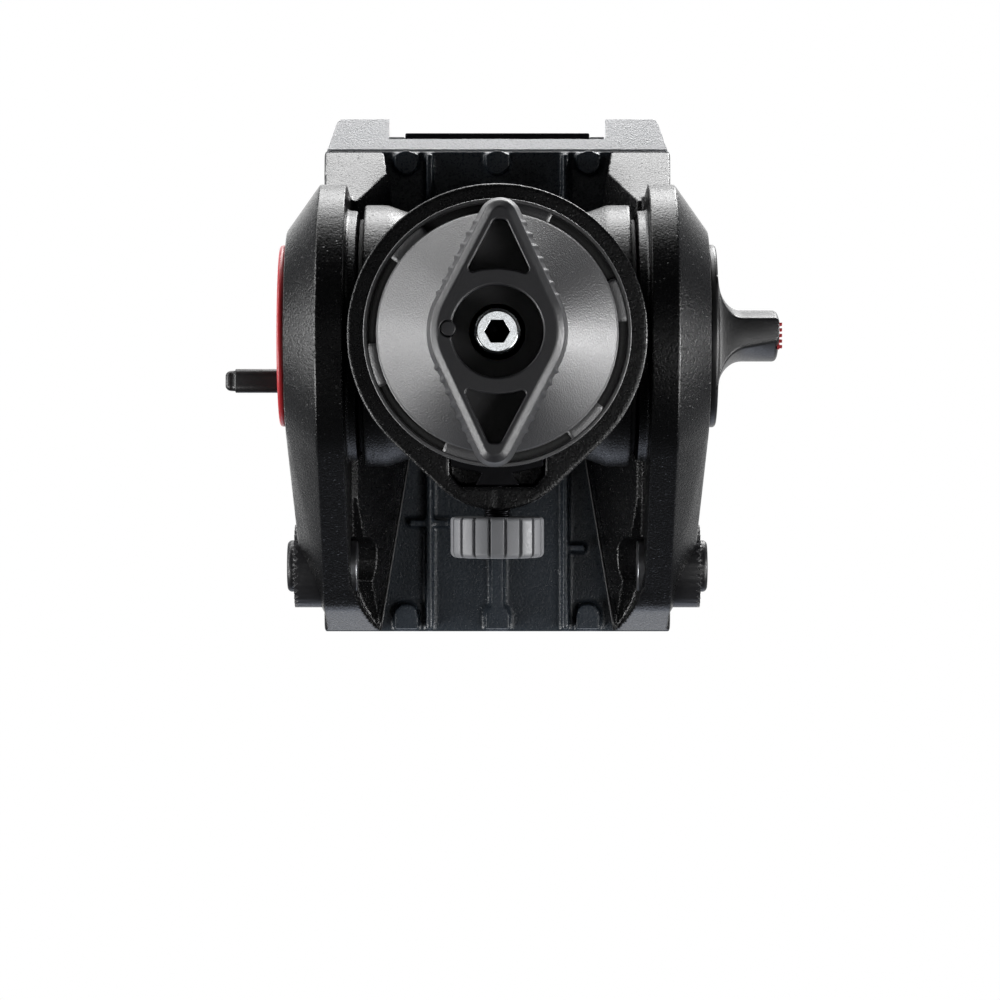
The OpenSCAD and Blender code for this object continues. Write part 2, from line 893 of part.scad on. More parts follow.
// Cheek that leans in from the band to carry the deck, with a sloped front end
module arm_cheek() {
    foot_z = deck_z - cheek_foot_drop;
    corner_z = deck_z - cheek_corner_drop;
    difference() {
        hull() {
            translate([0, 0, deck_z - cheek_h])
                linear_extrude(cheek_h)
                    cheek_outline();
            block([cheek_corner[0], cheek_middle_y, corner_z], [arm_band_x, cheek_corner[1], corner_z + 1]);
            block([cheek_foot_x, cheek_foot_rear, foot_z], [arm_band_x, cheek_foot_front, foot_z + 1]);
        }
        axle(arm_r + 0.8, 0, arm_in);
    }
}

// Rear corner where the tail widens in an arc to the cheek
module arm_corner() {
    wide = arm_in - cheek_rear_x;
    long = deck_rear - tail_back;
    arc_r = (wide * wide + long * long) / (2 * wide);
    arc_turn = asin(long / arc_r);
    arc_steps = 8;
    intersection() {
        hull() {
            axle(tail_r, cheek_rear_x, arm_band_x, -tail_back, rosette_rise, $fn = soft_fn);
            block([cheek_rear_x, -deck_rear + run, deck_z - cheek_h],
                  [arm_band_x, -tail_back - tail_r, deck_z]);
        }
        translate([0, 0, tilt_z])
            linear_extrude(deck_rise)
                polygon(concat(
                    [[arm_band_x, -deck_rear], [arm_band_x, -tail_back]],
                    [for (i = [0:arc_steps])
                        [arm_in - arc_r * (1 - cos(arc_turn / arc_steps * i)),
                         -tail_back - arc_r * sin(arc_turn / arc_steps * i)]]
                ));
    }
}

// Arm casting without its bores
module arm_casting() {
    arm_band();
    arm_cheek();
    arm_corner();
    hull() {
        axle(arm_r, arm_band_x, arm_out, r2 = arm_face_r, $fn = 2 * soft_fn);
        axle(tail_r, arm_band_x, tail_out, -tail_back, rosette_rise, r2 = tail_face_r, $fn = soft_fn);
    }
    axle(hub_r, hub_x, arm_in + 1);
}

module arm_bores() {
    axle(shaft_r + fit, 0, shaft_half);
    axle(shaft_screw_r + fit, 0, arm_out);
    axle(shaft_head_r + run, shaft_half + 0.6, arm_out);
    axle(control_pocket_r, control_x, arm_out + 1);
    axle(rosette_r + fit, rosette_seat, arm_out + 1, -rosette_back, rosette_rise);
    axle(bolt_shank_r + fit, 0, arm_out, -rosette_back, rosette_rise);
    axle(rosette_bolt_r + 0.9, 0, arm_in + 2, -rosette_back, rosette_rise);
    for (y = arm_screw_ys)
        post(arm_screw_r + fit, deck_z - arm_screw_l, deck_z + 1, arm_screw_x, y);
}

module left_arm() {
    color("#232325")
        difference() {
            arm_casting();
            arm_bores();
        }
}

module right_arm() {
    color("#232325")
        mirror([1, 0, 0])
            difference() {
                arm_casting();
                arm_bores();
                axle(brake_pad_r + fit, 0, arm_out, 0, -brake_pad_drop);
            }
}

// Ribs, screw bosses and cross webs under the deck
module deck_ribs() {
    low = deck_z - rib_h;
    rib_end = deck_rear - rib_w / 2;
    web_w = 6.5;
    left_web_y = -rosette_back + 12;
    right_web_y = -rosette_back + 4;
    both_sides()
        block([rib_x - rib_w / 2, -rib_end, low], [rib_x + rib_w / 2, deck_front - rib_w / 2, deck_z + 1]);
    block([-rib_w, -rib_end, low + 1], [rib_w, -rosette_back + 18, deck_z + 1]);
    block([rib_x - web_w, left_web_y, low + 1], [rib_x + web_w, left_web_y + rib_w, deck_z + 1]);
    block([-rib_x - web_w, right_web_y, low + 1], [-rib_x, right_web_y + rib_w, deck_z + 1]);
}

// Screw bosses under the deck, each open towards the nearest edge
module deck_bosses() {
    low = deck_z - rib_h + 1;
    for (x = boss_xs) {
        hull() {
            post(boss_r, low, deck_z + 1, x, boss_front_y);
            block([x - boss_r, boss_front_y, low], [x + boss_r, deck_front - rib_w / 2, deck_z + 1]);
        }
        hull() {
            post(boss_r, low, deck_z + 1, x, boss_rear_y);
            block([x - boss_r, -deck_rear + rib_w / 2, low], [x + boss_r, boss_rear_y, deck_z + 1]);
        }
    }
}

module holder_screw_places() {
    for (x = boss_xs)
        for (y = [boss_front_y, boss_rear_y])
            translate([x, y, 0])
                children();
}

module deck() {
    color("#1f1f21")
        difference() {
            union() {
                block([-deck_half, -deck_rear, deck_z], [deck_half, deck_front, deck_top_z]);
                deck_ribs();
                deck_bosses();
            }
            holder_screw_places()
                post(holder_screw_r + fit, deck_z, deck_top_z + 1);
            both_sides()
                for (y = arm_screw_ys) {
                    post(arm_screw_r + fit, deck_z - 1, deck_top_z, arm_screw_x, y);
                    post(arm_screw_head_r + fit, deck_top_z - arm_screw_head_h, deck_top_z + 1,
                         arm_screw_x, y);
                }
        }
}

// Plan of the holder: one side with a round corner at its rail's tip, and its mirror image
module holder_outline() {
    lean = atan2(horn_taper, horn_front - deck_front);
    round_x = holder_half - horn_taper - horn_round * tan(45 - lean / 2);
    corner_steps = 6;
    side = concat(
        [[holder_half, -deck_rear], [holder_half, deck_front]],
        [for (i = [0:corner_steps])
            [round_x + horn_round * cos(lean + (90 - lean) / corner_steps * i),
             horn_front - horn_round + horn_round * sin(lean + (90 - lean) / corner_steps * i)]],
        [[channel_half, horn_front], [channel_half, crossbar_front]]
    );
    polygon(concat(side, [for (i = [len(side) - 1:-1:0]) [-side[i][0], side[i][1]]]));
}

// Wedge that slopes the holder's underside from the deck's front edge up to the rails' tips
module holder_chin() {
    reach = horn_front - chin_y;
    translate([-holder_half - 1, 0, deck_top_z])
        rotate([90, 0, 90])
            linear_extrude(2 * holder_half + 2)
                polygon([
                    [chin_y, -1], [chin_y, 0], [chin_y + 2 * reach, 2 * chin_h], [chin_y + 2 * reach, -1]
                ]);
}

module plate_holder() {
    color("#222224")
        difference() {
            translate([0, 0, deck_top_z])
                linear_extrude(holder_floor_h + rail_h)
                    holder_outline();
            holder_chin();
            block([-channel_half, -deck_rear - 1, floor_z], [channel_half, horn_front + 1, rail_z + 1]);
            holder_screw_places() {
                post(holder_screw_r + fit, deck_top_z - 1, rail_z);
                post(holder_screw_head_r + fit, floor_z - holder_screw_head_h, rail_z);
            }
            translate([-holder_half - 1, 0, lever_z])
                rotate([0, 90, 0])
                    cylinder(h = holder_half, r = lever_spindle_r + fit);
            translate([-holder_half - 1, button_y, lever_z])
                rotate([0, 90, 0])
                    cylinder(h = button_depth + button_travel + 1 + slack, r = button_r + fit);
        }
}

module tilt_shaft() {
    color("#9b9c9f")
        difference() {
            axle(shaft_r, -shaft_half, shaft_half);
            both_sides()
                axle(shaft_screw_r + fit, shaft_half - 10, shaft_half + 1);
        }
}

module shaft_screws() {
    color("#7a7b7e")
        both_sides() {
            axle(shaft_screw_r, shaft_half - 9.5, shaft_half + 0.6);
            axle(shaft_head_r, shaft_half + 0.6, control_x - 0.2);
        }
}

// Toothed rosette that the pan handle clamps on, with a pilot boss and a threaded hole
module rosette() {
    tooth_pitch = 2 * PI * rosette_r / rosette_teeth;
    face = rosette_out - tooth_h;
    color("#3b3b3d")
        difference() {
            union() {
                axle(rosette_r, rosette_seat, face, -rosette_back, rosette_rise);
                intersection() {
                    axle(rosette_r, face - 1, rosette_out, -rosette_back, rosette_rise);
                    translate([face, -rosette_back, tilt_z + rosette_rise])
                        for (i = [0:rosette_teeth - 1])
                            rotate([360 / rosette_teeth * i, 0, 0])
                                translate([0, pilot_r - 2, 0])
                                    rotate([-90, 0, 0])
                                        linear_extrude(rosette_r)
                                            polygon([
                                                [-0.5, tooth_pitch * 0.42], [0, tooth_pitch * 0.42],
                                                [tooth_h, 0], [0, -tooth_pitch * 0.42],
                                                [-0.5, -tooth_pitch * 0.42]
                                            ]);
                }
                axle(pilot_r, face - 1, rosette_out + pilot_h, -rosette_back, rosette_rise);
            }
            axle(rosette_hole_r, rosette_seat - 1, arm_out + 5, -rosette_back, rosette_rise);
            axle(bolt_shank_r + fit, rosette_seat - 1, bolt_end, -rosette_back, rosette_rise);
        }
}

module left_rosette() {
    rosette();
}

module right_rosette() {
    mirror([1, 0, 0]) rosette();
}

module rosette_bolts() {
    head_x = arm_in + 2;
    color("#58595b")
        both_sides() {
            axle(rosette_bolt_r, head_x - bolt_head_h, head_x, -rosette_back, rosette_rise);
            axle(bolt_shank_r, head_x, bolt_end - run, -rosette_back, rosette_rise);
        }
}

module arm_screws() {
    color("#7a7b7e")
        both_sides()
            for (y = arm_screw_ys) {
                post(arm_screw_r, deck_z - arm_screw_l + 0.5, deck_top_z - arm_screw_head_h,
                     arm_screw_x, y);
                post(arm_screw_head_r, deck_top_z - arm_screw_head_h, deck_top_z - 0.2, arm_screw_x, y);
            }
}

module holder_screws() {
    color("#7a7b7e")
        holder_screw_places() {
            post(holder_screw_r, deck_z + 0.5, floor_z - holder_screw_head_h);
            post(holder_screw_head_r, floor_z - holder_screw_head_h, floor_z - 0.2);
        }
}

// Outline across a dovetail guide, from the channel's wall to the plate's side
module guide_bar(wall_x) {
    low_x = plate_half + guide_gap;
    top_x = plate_half - dovetail + guide_gap;
    translate([0, horn_front - 6, 0])
        rotate([90, 0, 0])
            linear_extrude(horn_front - 6 + deck_rear)
                polygon([
                    [wall_x, floor_z], [low_x, floor_z], [low_x, dovetail_low_z],
                    [top_x, dovetail_top_z], [top_x, rail_z], [wall_x, rail_z]
                ]);
}

module fixed_guide() {
    color("#8d8e91")
        guide_bar(channel_half);
}

module plate_gib() {
    color("#8d8e91")
        mirror([1, 0, 0])
            translate([run - guide_gap, 0, 0])
                guide_bar(channel_half - gib_travel);
}

module plate_lock_lever() {
    out = holder_half + run;
    boss_r = lever_spindle_r * 1.8;
    root_r = lever_spindle_r * 1.5;
    color("#2a2a2c") {
        translate([-out - lever_t, 0, lever_z])
            rotate([0, 90, 0])
                cylinder(h = lever_t, r = boss_r);
        translate([-out - 1, 0, lever_z])
            rotate([0, 90, 0])
                cylinder(h = out + 1 - channel_half - 0.2, r = lever_spindle_r);
        hull() {
            translate([-out - lever_t, -lever_spindle_r, lever_z])
                rotate([0, 90, 0])
                    cylinder(h = lever_t, r = root_r, $fn = soft_fn);
            translate([-out - lever_t, -lever_l, lever_z])
                rotate([0, 90, 0])
                    cylinder(h = lever_t, r = lever_spindle_r, $fn = soft_fn);
        }
    }
}

module release_button() {
    color("#b3262b")
        translate([-holder_half - button_out, button_y, lever_z])
            rotate([0, 90, 0])
                cylinder(h = button_out + button_depth, r = button_r);
}

module camera_screw_slot(wide, z0, z1) {
    translate([0, plate_mid_y, z0])
        linear_extrude(z1 - z0) {
            square([wide, 2 * slot_half], center = true);
            for (side = [-1, 1])
                translate([0, side * slot_half])
                    circle(d = wide);
        }
}

module camera_plate() {
    neck = plate_half - dovetail;
    top_half = plate_half - 0.6;
    color("#1b1b1d")
        difference() {
            translate([0, plate_front, 0])
                rotate([90, 0, 0])
                    linear_extrude(plate_l)
                        polygon([
                            [plate_half, plate_z], [plate_half, dovetail_low_z], [neck, dovetail_top_z],
                            [neck, rail_z + 1], [top_half, rail_z + 1], [top_half, plate_top_z],
                            [-top_half, plate_top_z], [-top_half, rail_z + 1], [-neck, rail_z + 1],
                            [-neck, dovetail_top_z], [-plate_half, dovetail_low_z], [-plate_half, plate_z]
                        ]);
            camera_screw_slot(screw_slot_w, plate_z - 1, plate_top_z + 1);
            camera_screw_slot(head_slot_w, plate_z - 1, head_slot_z);
        }
}

module plate_pads() {
    pad_in = head_slot_w / 2 + 1;
    pad_out = plate_half - 3;
    color("#2d2d2d")
        both_sides()
            block([pad_in, plate_front - plate_l + 5, plate_top_z], [pad_out, plate_front - 5, pad_z]);
}

module camera_screw() {
    difference() {
        union() {
            post(camera_head_r, camera_head_z, camera_head_z + camera_head_h);
            post(camera_screw_r - camera_neck, camera_head_z + 1, pad_z + 1);
            post(camera_screw_r, pad_z, pad_z + camera_screw_h);
        }
        block([-camera_head_r - 1, -0.6, camera_head_z - 1], [camera_head_r + 1, 0.6, camera_head_z + 1.2]);
    }
}

module front_camera_screw() {
    color("#c4c5c8")
        translate([0, plate_mid_y + camera_screw_y, 0])
            camera_screw();
}

module rear_camera_screw() {
    color("#c4c5c8")
        translate([0, plate_mid_y - camera_screw_y, 0])
            camera_screw();
}

module dial_hub() {
    color("#1d1d1f")
        axle(control_pocket_r - fit, control_x + run, arm_out);
}

// Shallow red dome over the counterbalance dial
module dial_cap() {
    edge = dial_h * 0.45;
    crown = dial_h - edge - run;
    color("#c8383c")
        difference() {
            union() {
                axle(control_pocket_r - 2, arm_out, arm_out + run);
                axle(dial_r, arm_out + run, arm_out + run + edge);
                axle(dial_r, arm_out + run + edge, arm_out + dial_h, r2 = dial_r - 2 * crown);
            }
            block([arm_out - 1, -tab_back - tab_t / 2 - fit, tilt_z - 4 - fit],
                  [arm_out + dial_h + 1, -tab_back + tab_t / 2 + fit, tilt_z + 12 + fit]);
        }
}

module dial_tab() {
    tip = tab_t / 2;
    color("#161618")
        translate([0, -tab_back, tilt_z]) {
            block([arm_out, -tab_t / 2, -4], [tab_out - tip, tab_t / 2, 12]);
            translate([tab_out - tip, 0, -4])
                cylinder(h = 16, r = tip);
        }
}

// Wing lever: a disc over the arm, and a bar across it that flares into the disc
module tilt_lock_lever() {
    face = arm_out + run;
    flare = 8;
    disc_top = face + lever_disc_h - run;
    half_t = grip_t / 2;
    root = disc_top - 0.5;
    neck = disc_top + flare;
    wide = half_t + flare;
    color("#1a1a1c")
        mirror([1, 0, 0])
            difference() {
                union() {
                    axle(control_pocket_r - fit, control_x + run, face);
                    axle(lever_disc_r, face, disc_top);
                    translate([0, 0, tilt_z])
                        intersection() {
                            translate([0, 0, -lever_disc_r])
                                linear_extrude(2 * lever_disc_r)
                                    difference() {
                                        polygon([
                                            [root, -wide], [neck, -wide], [neck, -half_t],
                                            [grip_out, -half_t], [grip_out, half_t],
                                            [neck, half_t], [neck, wide], [root, wide]
                                        ]);
                                        for (side = [-1, 1])
                                            translate([neck, side * wide])
                                                circle(r = flare);
                                    }
                            rotate([90, 0, 0])
                                translate([0, 0, -lever_disc_r])
                                    linear_extrude(2 * lever_disc_r)
                                        polygon([
                                            [root, -lever_disc_r + 5], [grip_out, -grip_l / 2],
                                            [grip_out, grip_l / 2], [root, lever_disc_r - 5]
                                        ]);
                        }
                }
                block([grip_out - inlay_seat, -inlay_half - fit, tilt_z - inlay_l / 2 - fit],
                      [grip_out + 1, inlay_half + fit, tilt_z + inlay_l / 2 + fit]);
            }
}

// Red ridged inlay along the lever's end
module lever_inlay() {
    ridge_count = 5;
    pitch = 2 * inlay_half / ridge_count;
    color("#c8383c")
        mirror([1, 0, 0])
            translate([grip_out - inlay_seat, 0, tilt_z - inlay_l / 2])
                linear_extrude(inlay_l) {
                    translate([0, -inlay_half])
                        square([inlay_seat * 1.3, 2 * inlay_half]);
                    for (i = [0:ridge_count - 1])
                        translate([inlay_seat, -inlay_half + pitch * (i + 0.2)])
                            square([inlay_h, pitch * 0.6]);
                }
}

module tilt_brake_pad() {
    color("#6b5a44")
        mirror([1, 0, 0])
            axle(brake_pad_r, hub_x, control_x, 0, -brake_pad_drop);
}

half_ball();
base_plate();
pan_drum();
pan_spindle();
spindle_nut();
clamp_stud();
stop_screw();
base_screws();
clamp_ring();
clamp_bell();
clamp_handle();
handle_insert();
pan_drag_ring();
pan_body();
pan_bearing();
left_barrel_cap();
right_barrel_cap();
tilt_bearings();
friction_seals();
tilt_drag_drum();
counterbalance_spring();
level_cup();
level_vial();
pan_brake_shoe();
pan_lock_screw();
pan_lock_knob();
left_arm();
right_arm();
deck();
plate_holder();
tilt_shaft();
shaft_screws();
tilt_drag_rotor();
spring_sleeve();
left_rosette();
right_rosette();
rosette_bolts();
arm_screws();
holder_screws();
fixed_guide();
plate_gib();
plate_lock_lever();
release_button();
camera_plate();
plate_pads();
front_camera_screw();
rear_camera_screw();
dial_hub();
dial_cap();
dial_tab();
tilt_lock_lever();
lever_inlay();
tilt_brake_pad();
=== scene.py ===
"""Fluid video head, seen straight up its pan axis: castings, turned and moulded pieces, studio light."""

import json
import math

import bpy
import numpy as np
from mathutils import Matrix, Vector

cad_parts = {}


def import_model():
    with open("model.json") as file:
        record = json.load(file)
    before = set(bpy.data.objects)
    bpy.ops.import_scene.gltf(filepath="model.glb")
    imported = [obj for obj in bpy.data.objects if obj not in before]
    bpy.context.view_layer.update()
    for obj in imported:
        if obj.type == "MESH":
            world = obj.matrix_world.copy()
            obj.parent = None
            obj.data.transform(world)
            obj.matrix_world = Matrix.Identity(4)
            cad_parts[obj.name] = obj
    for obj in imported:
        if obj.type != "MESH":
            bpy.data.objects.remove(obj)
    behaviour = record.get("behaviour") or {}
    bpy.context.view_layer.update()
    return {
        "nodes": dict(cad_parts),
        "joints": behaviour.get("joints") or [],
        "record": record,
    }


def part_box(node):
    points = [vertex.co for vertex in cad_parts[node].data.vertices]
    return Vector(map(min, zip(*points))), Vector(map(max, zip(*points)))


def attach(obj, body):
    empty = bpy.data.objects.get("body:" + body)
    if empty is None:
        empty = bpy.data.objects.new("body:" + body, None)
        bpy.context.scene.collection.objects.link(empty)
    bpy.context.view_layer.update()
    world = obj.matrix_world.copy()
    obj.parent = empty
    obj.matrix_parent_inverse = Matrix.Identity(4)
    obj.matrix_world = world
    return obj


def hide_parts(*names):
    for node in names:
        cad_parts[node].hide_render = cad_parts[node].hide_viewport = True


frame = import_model()

MM = 0.001
TURN = 2 * math.pi
QUARTER = math.pi / 2
RECORD = frame["record"]
BODY_OF = {node: body for body, nodes in RECORD["behaviour"]["bodies"].items() for node in nodes}
SLOT_OF = {part["node"]: part["material_slot"] for part in RECORD["subparts"]}
JOINT = {joint["name"]: joint for joint in frame["joints"]}
TILT_Z = JOINT["tilt"]["pos_m"][2] / MM
LOCK_Z = JOINT["pan_lock_turn"]["pos_m"][2] / MM


def size_of(node):
    """Lowest and highest corner of a CAD node, in millimetres."""
    low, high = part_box(node)
    return np.array(low) / MM, np.array(high) / MM


# Outlines and profiles, in millimetres

NEARLY_STRAIGHT = QUARTER - 0.02
MOST_OF_A_SIDE = 0.49


def arc(centre, radius, start, end, count):
    """Points centre + radius (cos a, sin a), with a in degrees from start to end."""
    a = np.radians(np.linspace(start, end, count))
    return np.stack([centre[0] + radius * np.cos(a), centre[1] + radius * np.sin(a)], 1)


def band(inner, outer, low, high):
    """Corners of a rectangular profile, from one radius to another and from one height to another."""
    return np.array([[inner, low], [outer, low], [outer, high], [inner, high]])


def rounded(corners, radii, steps=5):
    """A polygon with arcs for corners, each tangent to both sides at radius / tan(half the corner) from it.

    A corner stays a point where its radius is 0 or its two sides are nearly in line."""
    points = []
    corners = np.asarray(corners, float)
    for i, corner in enumerate(corners):
        before = corners[i - 1] - corner
        after = corners[(i + 1) % len(corners)] - corner
        long_before, long_after = np.linalg.norm(before), np.linalg.norm(after)
        before, after = before / long_before, after / long_after
        half = math.acos(np.clip(before @ after, -1, 1)) / 2
        radius = radii if np.isscalar(radii) else radii[i]
        if radius <= 0 or half > NEARLY_STRAIGHT:
            points.append(corner[None])
            continue
        reach = min(radius / math.tan(half), MOST_OF_A_SIDE * long_before, MOST_OF_A_SIDE * long_after)
        middle = corner + (before + after) / np.linalg.norm(before + after) * reach / math.cos(half)
        spokes = np.stack([corner + before * reach - middle, corner + after * reach - middle])
        t = np.linspace(0, 1, steps + 1)[:, None]
        sweep = spokes[0] * (1 - t) + spokes[1] * t
        sweep *= np.linalg.norm(spokes[0]) / np.linalg.norm(sweep, axis=1)[:, None]
        points.append(middle + sweep)
    return np.concatenate(points)


def resampled(outline, count):
    """The closed outline at count points, evenly spaced along its length."""
    loop = np.concatenate([outline, outline[:1]])
    along = np.concatenate([[0], np.cumsum(np.linalg.norm(np.diff(loop, axis=0), axis=1))])
    at = np.linspace(0, along[-1], count, endpoint=False)
    return np.stack([np.interp(at, along, loop[:, 0]), np.interp(at, along, loop[:, 1])], 1)


def outward(outline):
    """Unit normals of an anticlockwise closed outline: its central difference, turned a quarter back."""
    step = np.roll(outline, -1, 0) - np.roll(outline, 1, 0)
    step /= np.linalg.norm(step, axis=1)[:, None]
    return np.stack([step[:, 1], -step[:, 0]], 1)


def edge_round(radius, steps=5):
    """Insets and drops of a quarter-round edge: radius (1 - sin t) in, radius (1 - cos t) down."""
    t = np.linspace(0, QUARTER, steps + 1)
    return radius * (1 - np.sin(t)), radius * (1 - np.cos(t))


def at_heights(outline, insets, heights):
    """Sections of one outline: each moved in along its normals by an inset and set at a height."""
    normals = outward(outline)
    flat = outline[None] - normals[None] * np.asarray(insets)[:, None, None]
    z = np.repeat(np.asarray(heights, float)[:, None, None], len(outline), 1)
    return np.concatenate([flat, z], -1)


def spun(points, angle):
    """Points turned about Z: (x cos - y sin, x sin + y cos, z)."""
    c, s = math.cos(angle), math.sin(angle)
    x, y, z = points[..., 0], points[..., 1], points[..., 2]
    return np.stack([c * x - s * y, s * x + c * y, z], -1)


def turned(points, axis):
    """Points made about Z, turned so that their Z runs along the axis that is named."""
    x, y, z = points[..., 0], points[..., 1], points[..., 2]
    order = {"z": (x, y, z), "x": (z, y, -x), "-x": (-z, y, x), "-y": (x, -z, y)}
    return np.stack(order[axis], -1)


# Meshes

MERGE = 1e-6
CAD_MERGE = 2e-6


def linked(name, data):
    """A new object in the scene."""
    obj = bpy.data.objects.new(name, data)
    bpy.context.scene.collection.objects.link(obj)
    return obj


def smooth(obj):
    """Shades every face smooth."""
    faces = obj.data.polygons
    faces.foreach_set("use_smooth", np.ones(len(faces), bool))
    return obj


def tidied(obj, merge=MERGE):
    """Merges doubled points, turns the faces outwards and shades the mesh smooth."""
    bpy.context.view_layer.objects.active = obj
    bpy.ops.object.select_all(action="DESELECT")
    obj.select_set(True)
    bpy.ops.object.mode_set(mode="EDIT")
    bpy.ops.mesh.select_all(action="SELECT")
    bpy.ops.mesh.remove_doubles(threshold=merge)
    bpy.ops.mesh.normals_make_consistent(inside=False)
    bpy.ops.object.mode_set(mode="OBJECT")
    return smooth(obj)


def new_mesh(name, points, faces):
    """A smooth mesh from points in millimetres, with doubled points merged and faces turned outwards."""
    mesh = bpy.data.meshes.new(name)
    mesh.from_pydata((np.asarray(points) * MM).tolist(), [], [list(map(int, f)) for f in faces])
    mesh.validate()
    return tidied(linked(name, mesh))


def grid_faces(rows, columns, wrap_rows=False):
    """Quads of a grid whose columns wrap round, and whose rows may wrap too."""
    r = np.arange(rows if wrap_rows else rows - 1)[:, None]
    c = np.arange(columns)[None]
    this_row, next_row = r * columns, (r + 1) % rows * columns
    next_c = (c + 1) % columns
    quads = np.stack([this_row + c, this_row + next_c, next_row + next_c, next_row + c], -1)
    return quads.reshape(-1, 4)


def lathe(name, profile, axis="z", centre=(0, 0, 0), count=160, closed=True, shape=None):
    """A profile of radius and height carried round an axis: (r cos a, r sin a, h).

    shape(a, r, h) may return a new r and h for each angle.
    A profile that isn't closed starts and ends on the axis."""
    a = np.arange(count)[None] * TURN / count
    r = np.repeat(profile[:, :1], count, 1)
    h = np.repeat(profile[:, 1:], count, 1)
    if shape:
        r, h = shape(a, r, h)
    points = np.stack([r * np.cos(a), r * np.sin(a), h], -1)
    points = turned(points, axis) + np.asarray(centre)
    return new_mesh(name, points.reshape(-1, 3), grid_faces(len(profile), count, closed))


def loft(name, sections):
    """Outlines with the same number of points, joined in order, with a flat cap on the first and last."""
    rows, columns = sections.shape[:2]
    faces = [list(f) for f in grid_faces(rows, columns)]
    faces.append(list(range(columns))[::-1])
    faces.append(list(range((rows - 1) * columns, rows * columns)))
    return new_mesh(name, sections.reshape(-1, 3), faces)


def sector(name, profile, start, end, count):
    """A closed profile of radius and height carried round Z from one angle to another, in degrees."""
    a = np.radians(np.linspace(start, end, count))[:, None]
    r, h = profile[None, :, 0], profile[None, :, 1]
    return loft(name, np.stack([r * np.cos(a), r * np.sin(a), h + 0 * a], -1))


def joined(name, pieces):
    """One object from several closed meshes."""
    bpy.ops.object.select_all(action="DESELECT")
    for piece in pieces:
        piece.select_set(True)
    bpy.context.view_layer.objects.active = pieces[0]
    bpy.ops.object.join()
    pieces[0].name = name
    return pieces[0]


def baked(obj):
    """Applies the object's modifiers to its mesh."""
    result = bpy.data.meshes.new_from_object(obj.evaluated_get(bpy.context.evaluated_depsgraph_get()))
    obj.modifiers.clear()
    obj.data = result
    return obj


def evened(obj):
    """Weights the normals by face area, so that flat faces stay flat beside their rounded edges."""
    obj.modifiers.new("weighted", "WEIGHTED_NORMAL").keep_sharp = True
    return baked(obj)


def carved(obj, cutters):
    """Cuts closed meshes out of an object, then removes them."""
    for cutter in cutters:
        cut = obj.modifiers.new("cut", "BOOLEAN")
        cut.operation = "DIFFERENCE"
        cut.solver = "EXACT"
        cut.object = cutter
    baked(obj)
    for cutter in cutters:
        bpy.data.objects.remove(cutter)
    return tidied(obj)


def copy_of(node, name):
    """A merged copy of a CAD node's mesh, free to be dressed."""
    obj = linked(name, frame["nodes"][node].data.copy())
    obj.data.materials.clear()
    return tidied(obj, CAD_MERGE)


def cast(node, name, cell, passes, most=90000):
    """A casting: the node's solid rebuilt in even cells of the given millimetres, its edges run soft.

    A mesh over the most triangles is then thinned to them."""
    obj = copy_of(node, name)
    cells = obj.modifiers.new("cells", "REMESH")
    cells.mode = "VOXEL"
    cells.voxel_size = cell * MM
    soft = obj.modifiers.new("soft", "SMOOTH")
    soft.factor = 0.5
    soft.iterations = passes
    baked(obj)
    thin = obj.modifiers.new("thin", "DECIMATE")
    thin.ratio = min(1, most / (2 * len(obj.data.polygons)))
    return smooth(baked(obj))


def settled(obj, passes=60, hold=0.008):
    """Evens a casting's normals: each turns to its neighbours' mean, weighted by exp(-(1 - n m) / hold).

    A neighbour that points far off hardly counts, so edges stay crisp while broad curves turn smooth."""
    mesh = obj.data
    count = len(mesh.vertices)
    flat, ends = np.empty(3 * count), np.empty(2 * len(mesh.edges), np.int32)
    mesh.vertices.foreach_get("normal", flat)
    mesh.edges.foreach_get("vertices", ends)
    normals = flat.reshape(-1, 3)
    start, end = ends.reshape(-1, 2).T
    for _ in range(passes):
        weight = np.exp(-(1 - (normals[start] * normals[end]).sum(1)) / hold)
        near = [np.bincount(start, weight * normals[end, k], count)
                + np.bincount(end, weight * normals[start, k], count) for k in range(3)]
        normals = normals + np.stack(near, 1)
        normals /= np.linalg.norm(normals, axis=1)[:, None]
    mesh.normals_split_custom_set_from_vertices(normals.tolist())
    return obj


def milled(node, name, width):
    """A machined or moulded block: the node's flat faces, each sharp edge rounded by width millimetres."""
    obj = copy_of(node, name)
    flat = obj.modifiers.new("flat", "DECIMATE")
    flat.decimate_type = "DISSOLVE"
    flat.angle_limit = math.radians(1)
    edge = obj.modifiers.new("edge", "BEVEL")
    edge.width = width * MM
    edge.segments = 3
    edge.limit_method = "ANGLE"
    edge.angle_limit = math.radians(28)
    edge.use_clamp_overlap = True
    return evened(smooth(baked(obj)))


def paint(obj, material):
    """Gives an object one material."""
    obj.data.materials.clear()
    obj.data.materials.append(material)


def dress(obj, body, node):
    """Puts a finished piece on its body, in place of the CAD node that it stands for."""
    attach(obj, body)
    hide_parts(node)
    paint(obj, FINISH[SLOT_OF[node]])
    return obj


def trim(obj, body, slot):
    """Puts a piece that stands for no CAD node on its body, in the finish of a slot."""
    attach(obj, body)
    paint(obj, FINISH[slot])


# Materials

GRAIN_LOW, GRAIN_HIGH = 0.3, 0.7


def rgb(text):
    """Linear colour of an sRGB hex value."""
    value = np.array([int(text[i:i + 2], 16) for i in (1, 3, 5)]) / 255
    linear = np.where(value <= 0.04045, value / 12.92, ((value + 0.055) / 1.055) ** 2.4)
    return (*linear, 1.0)


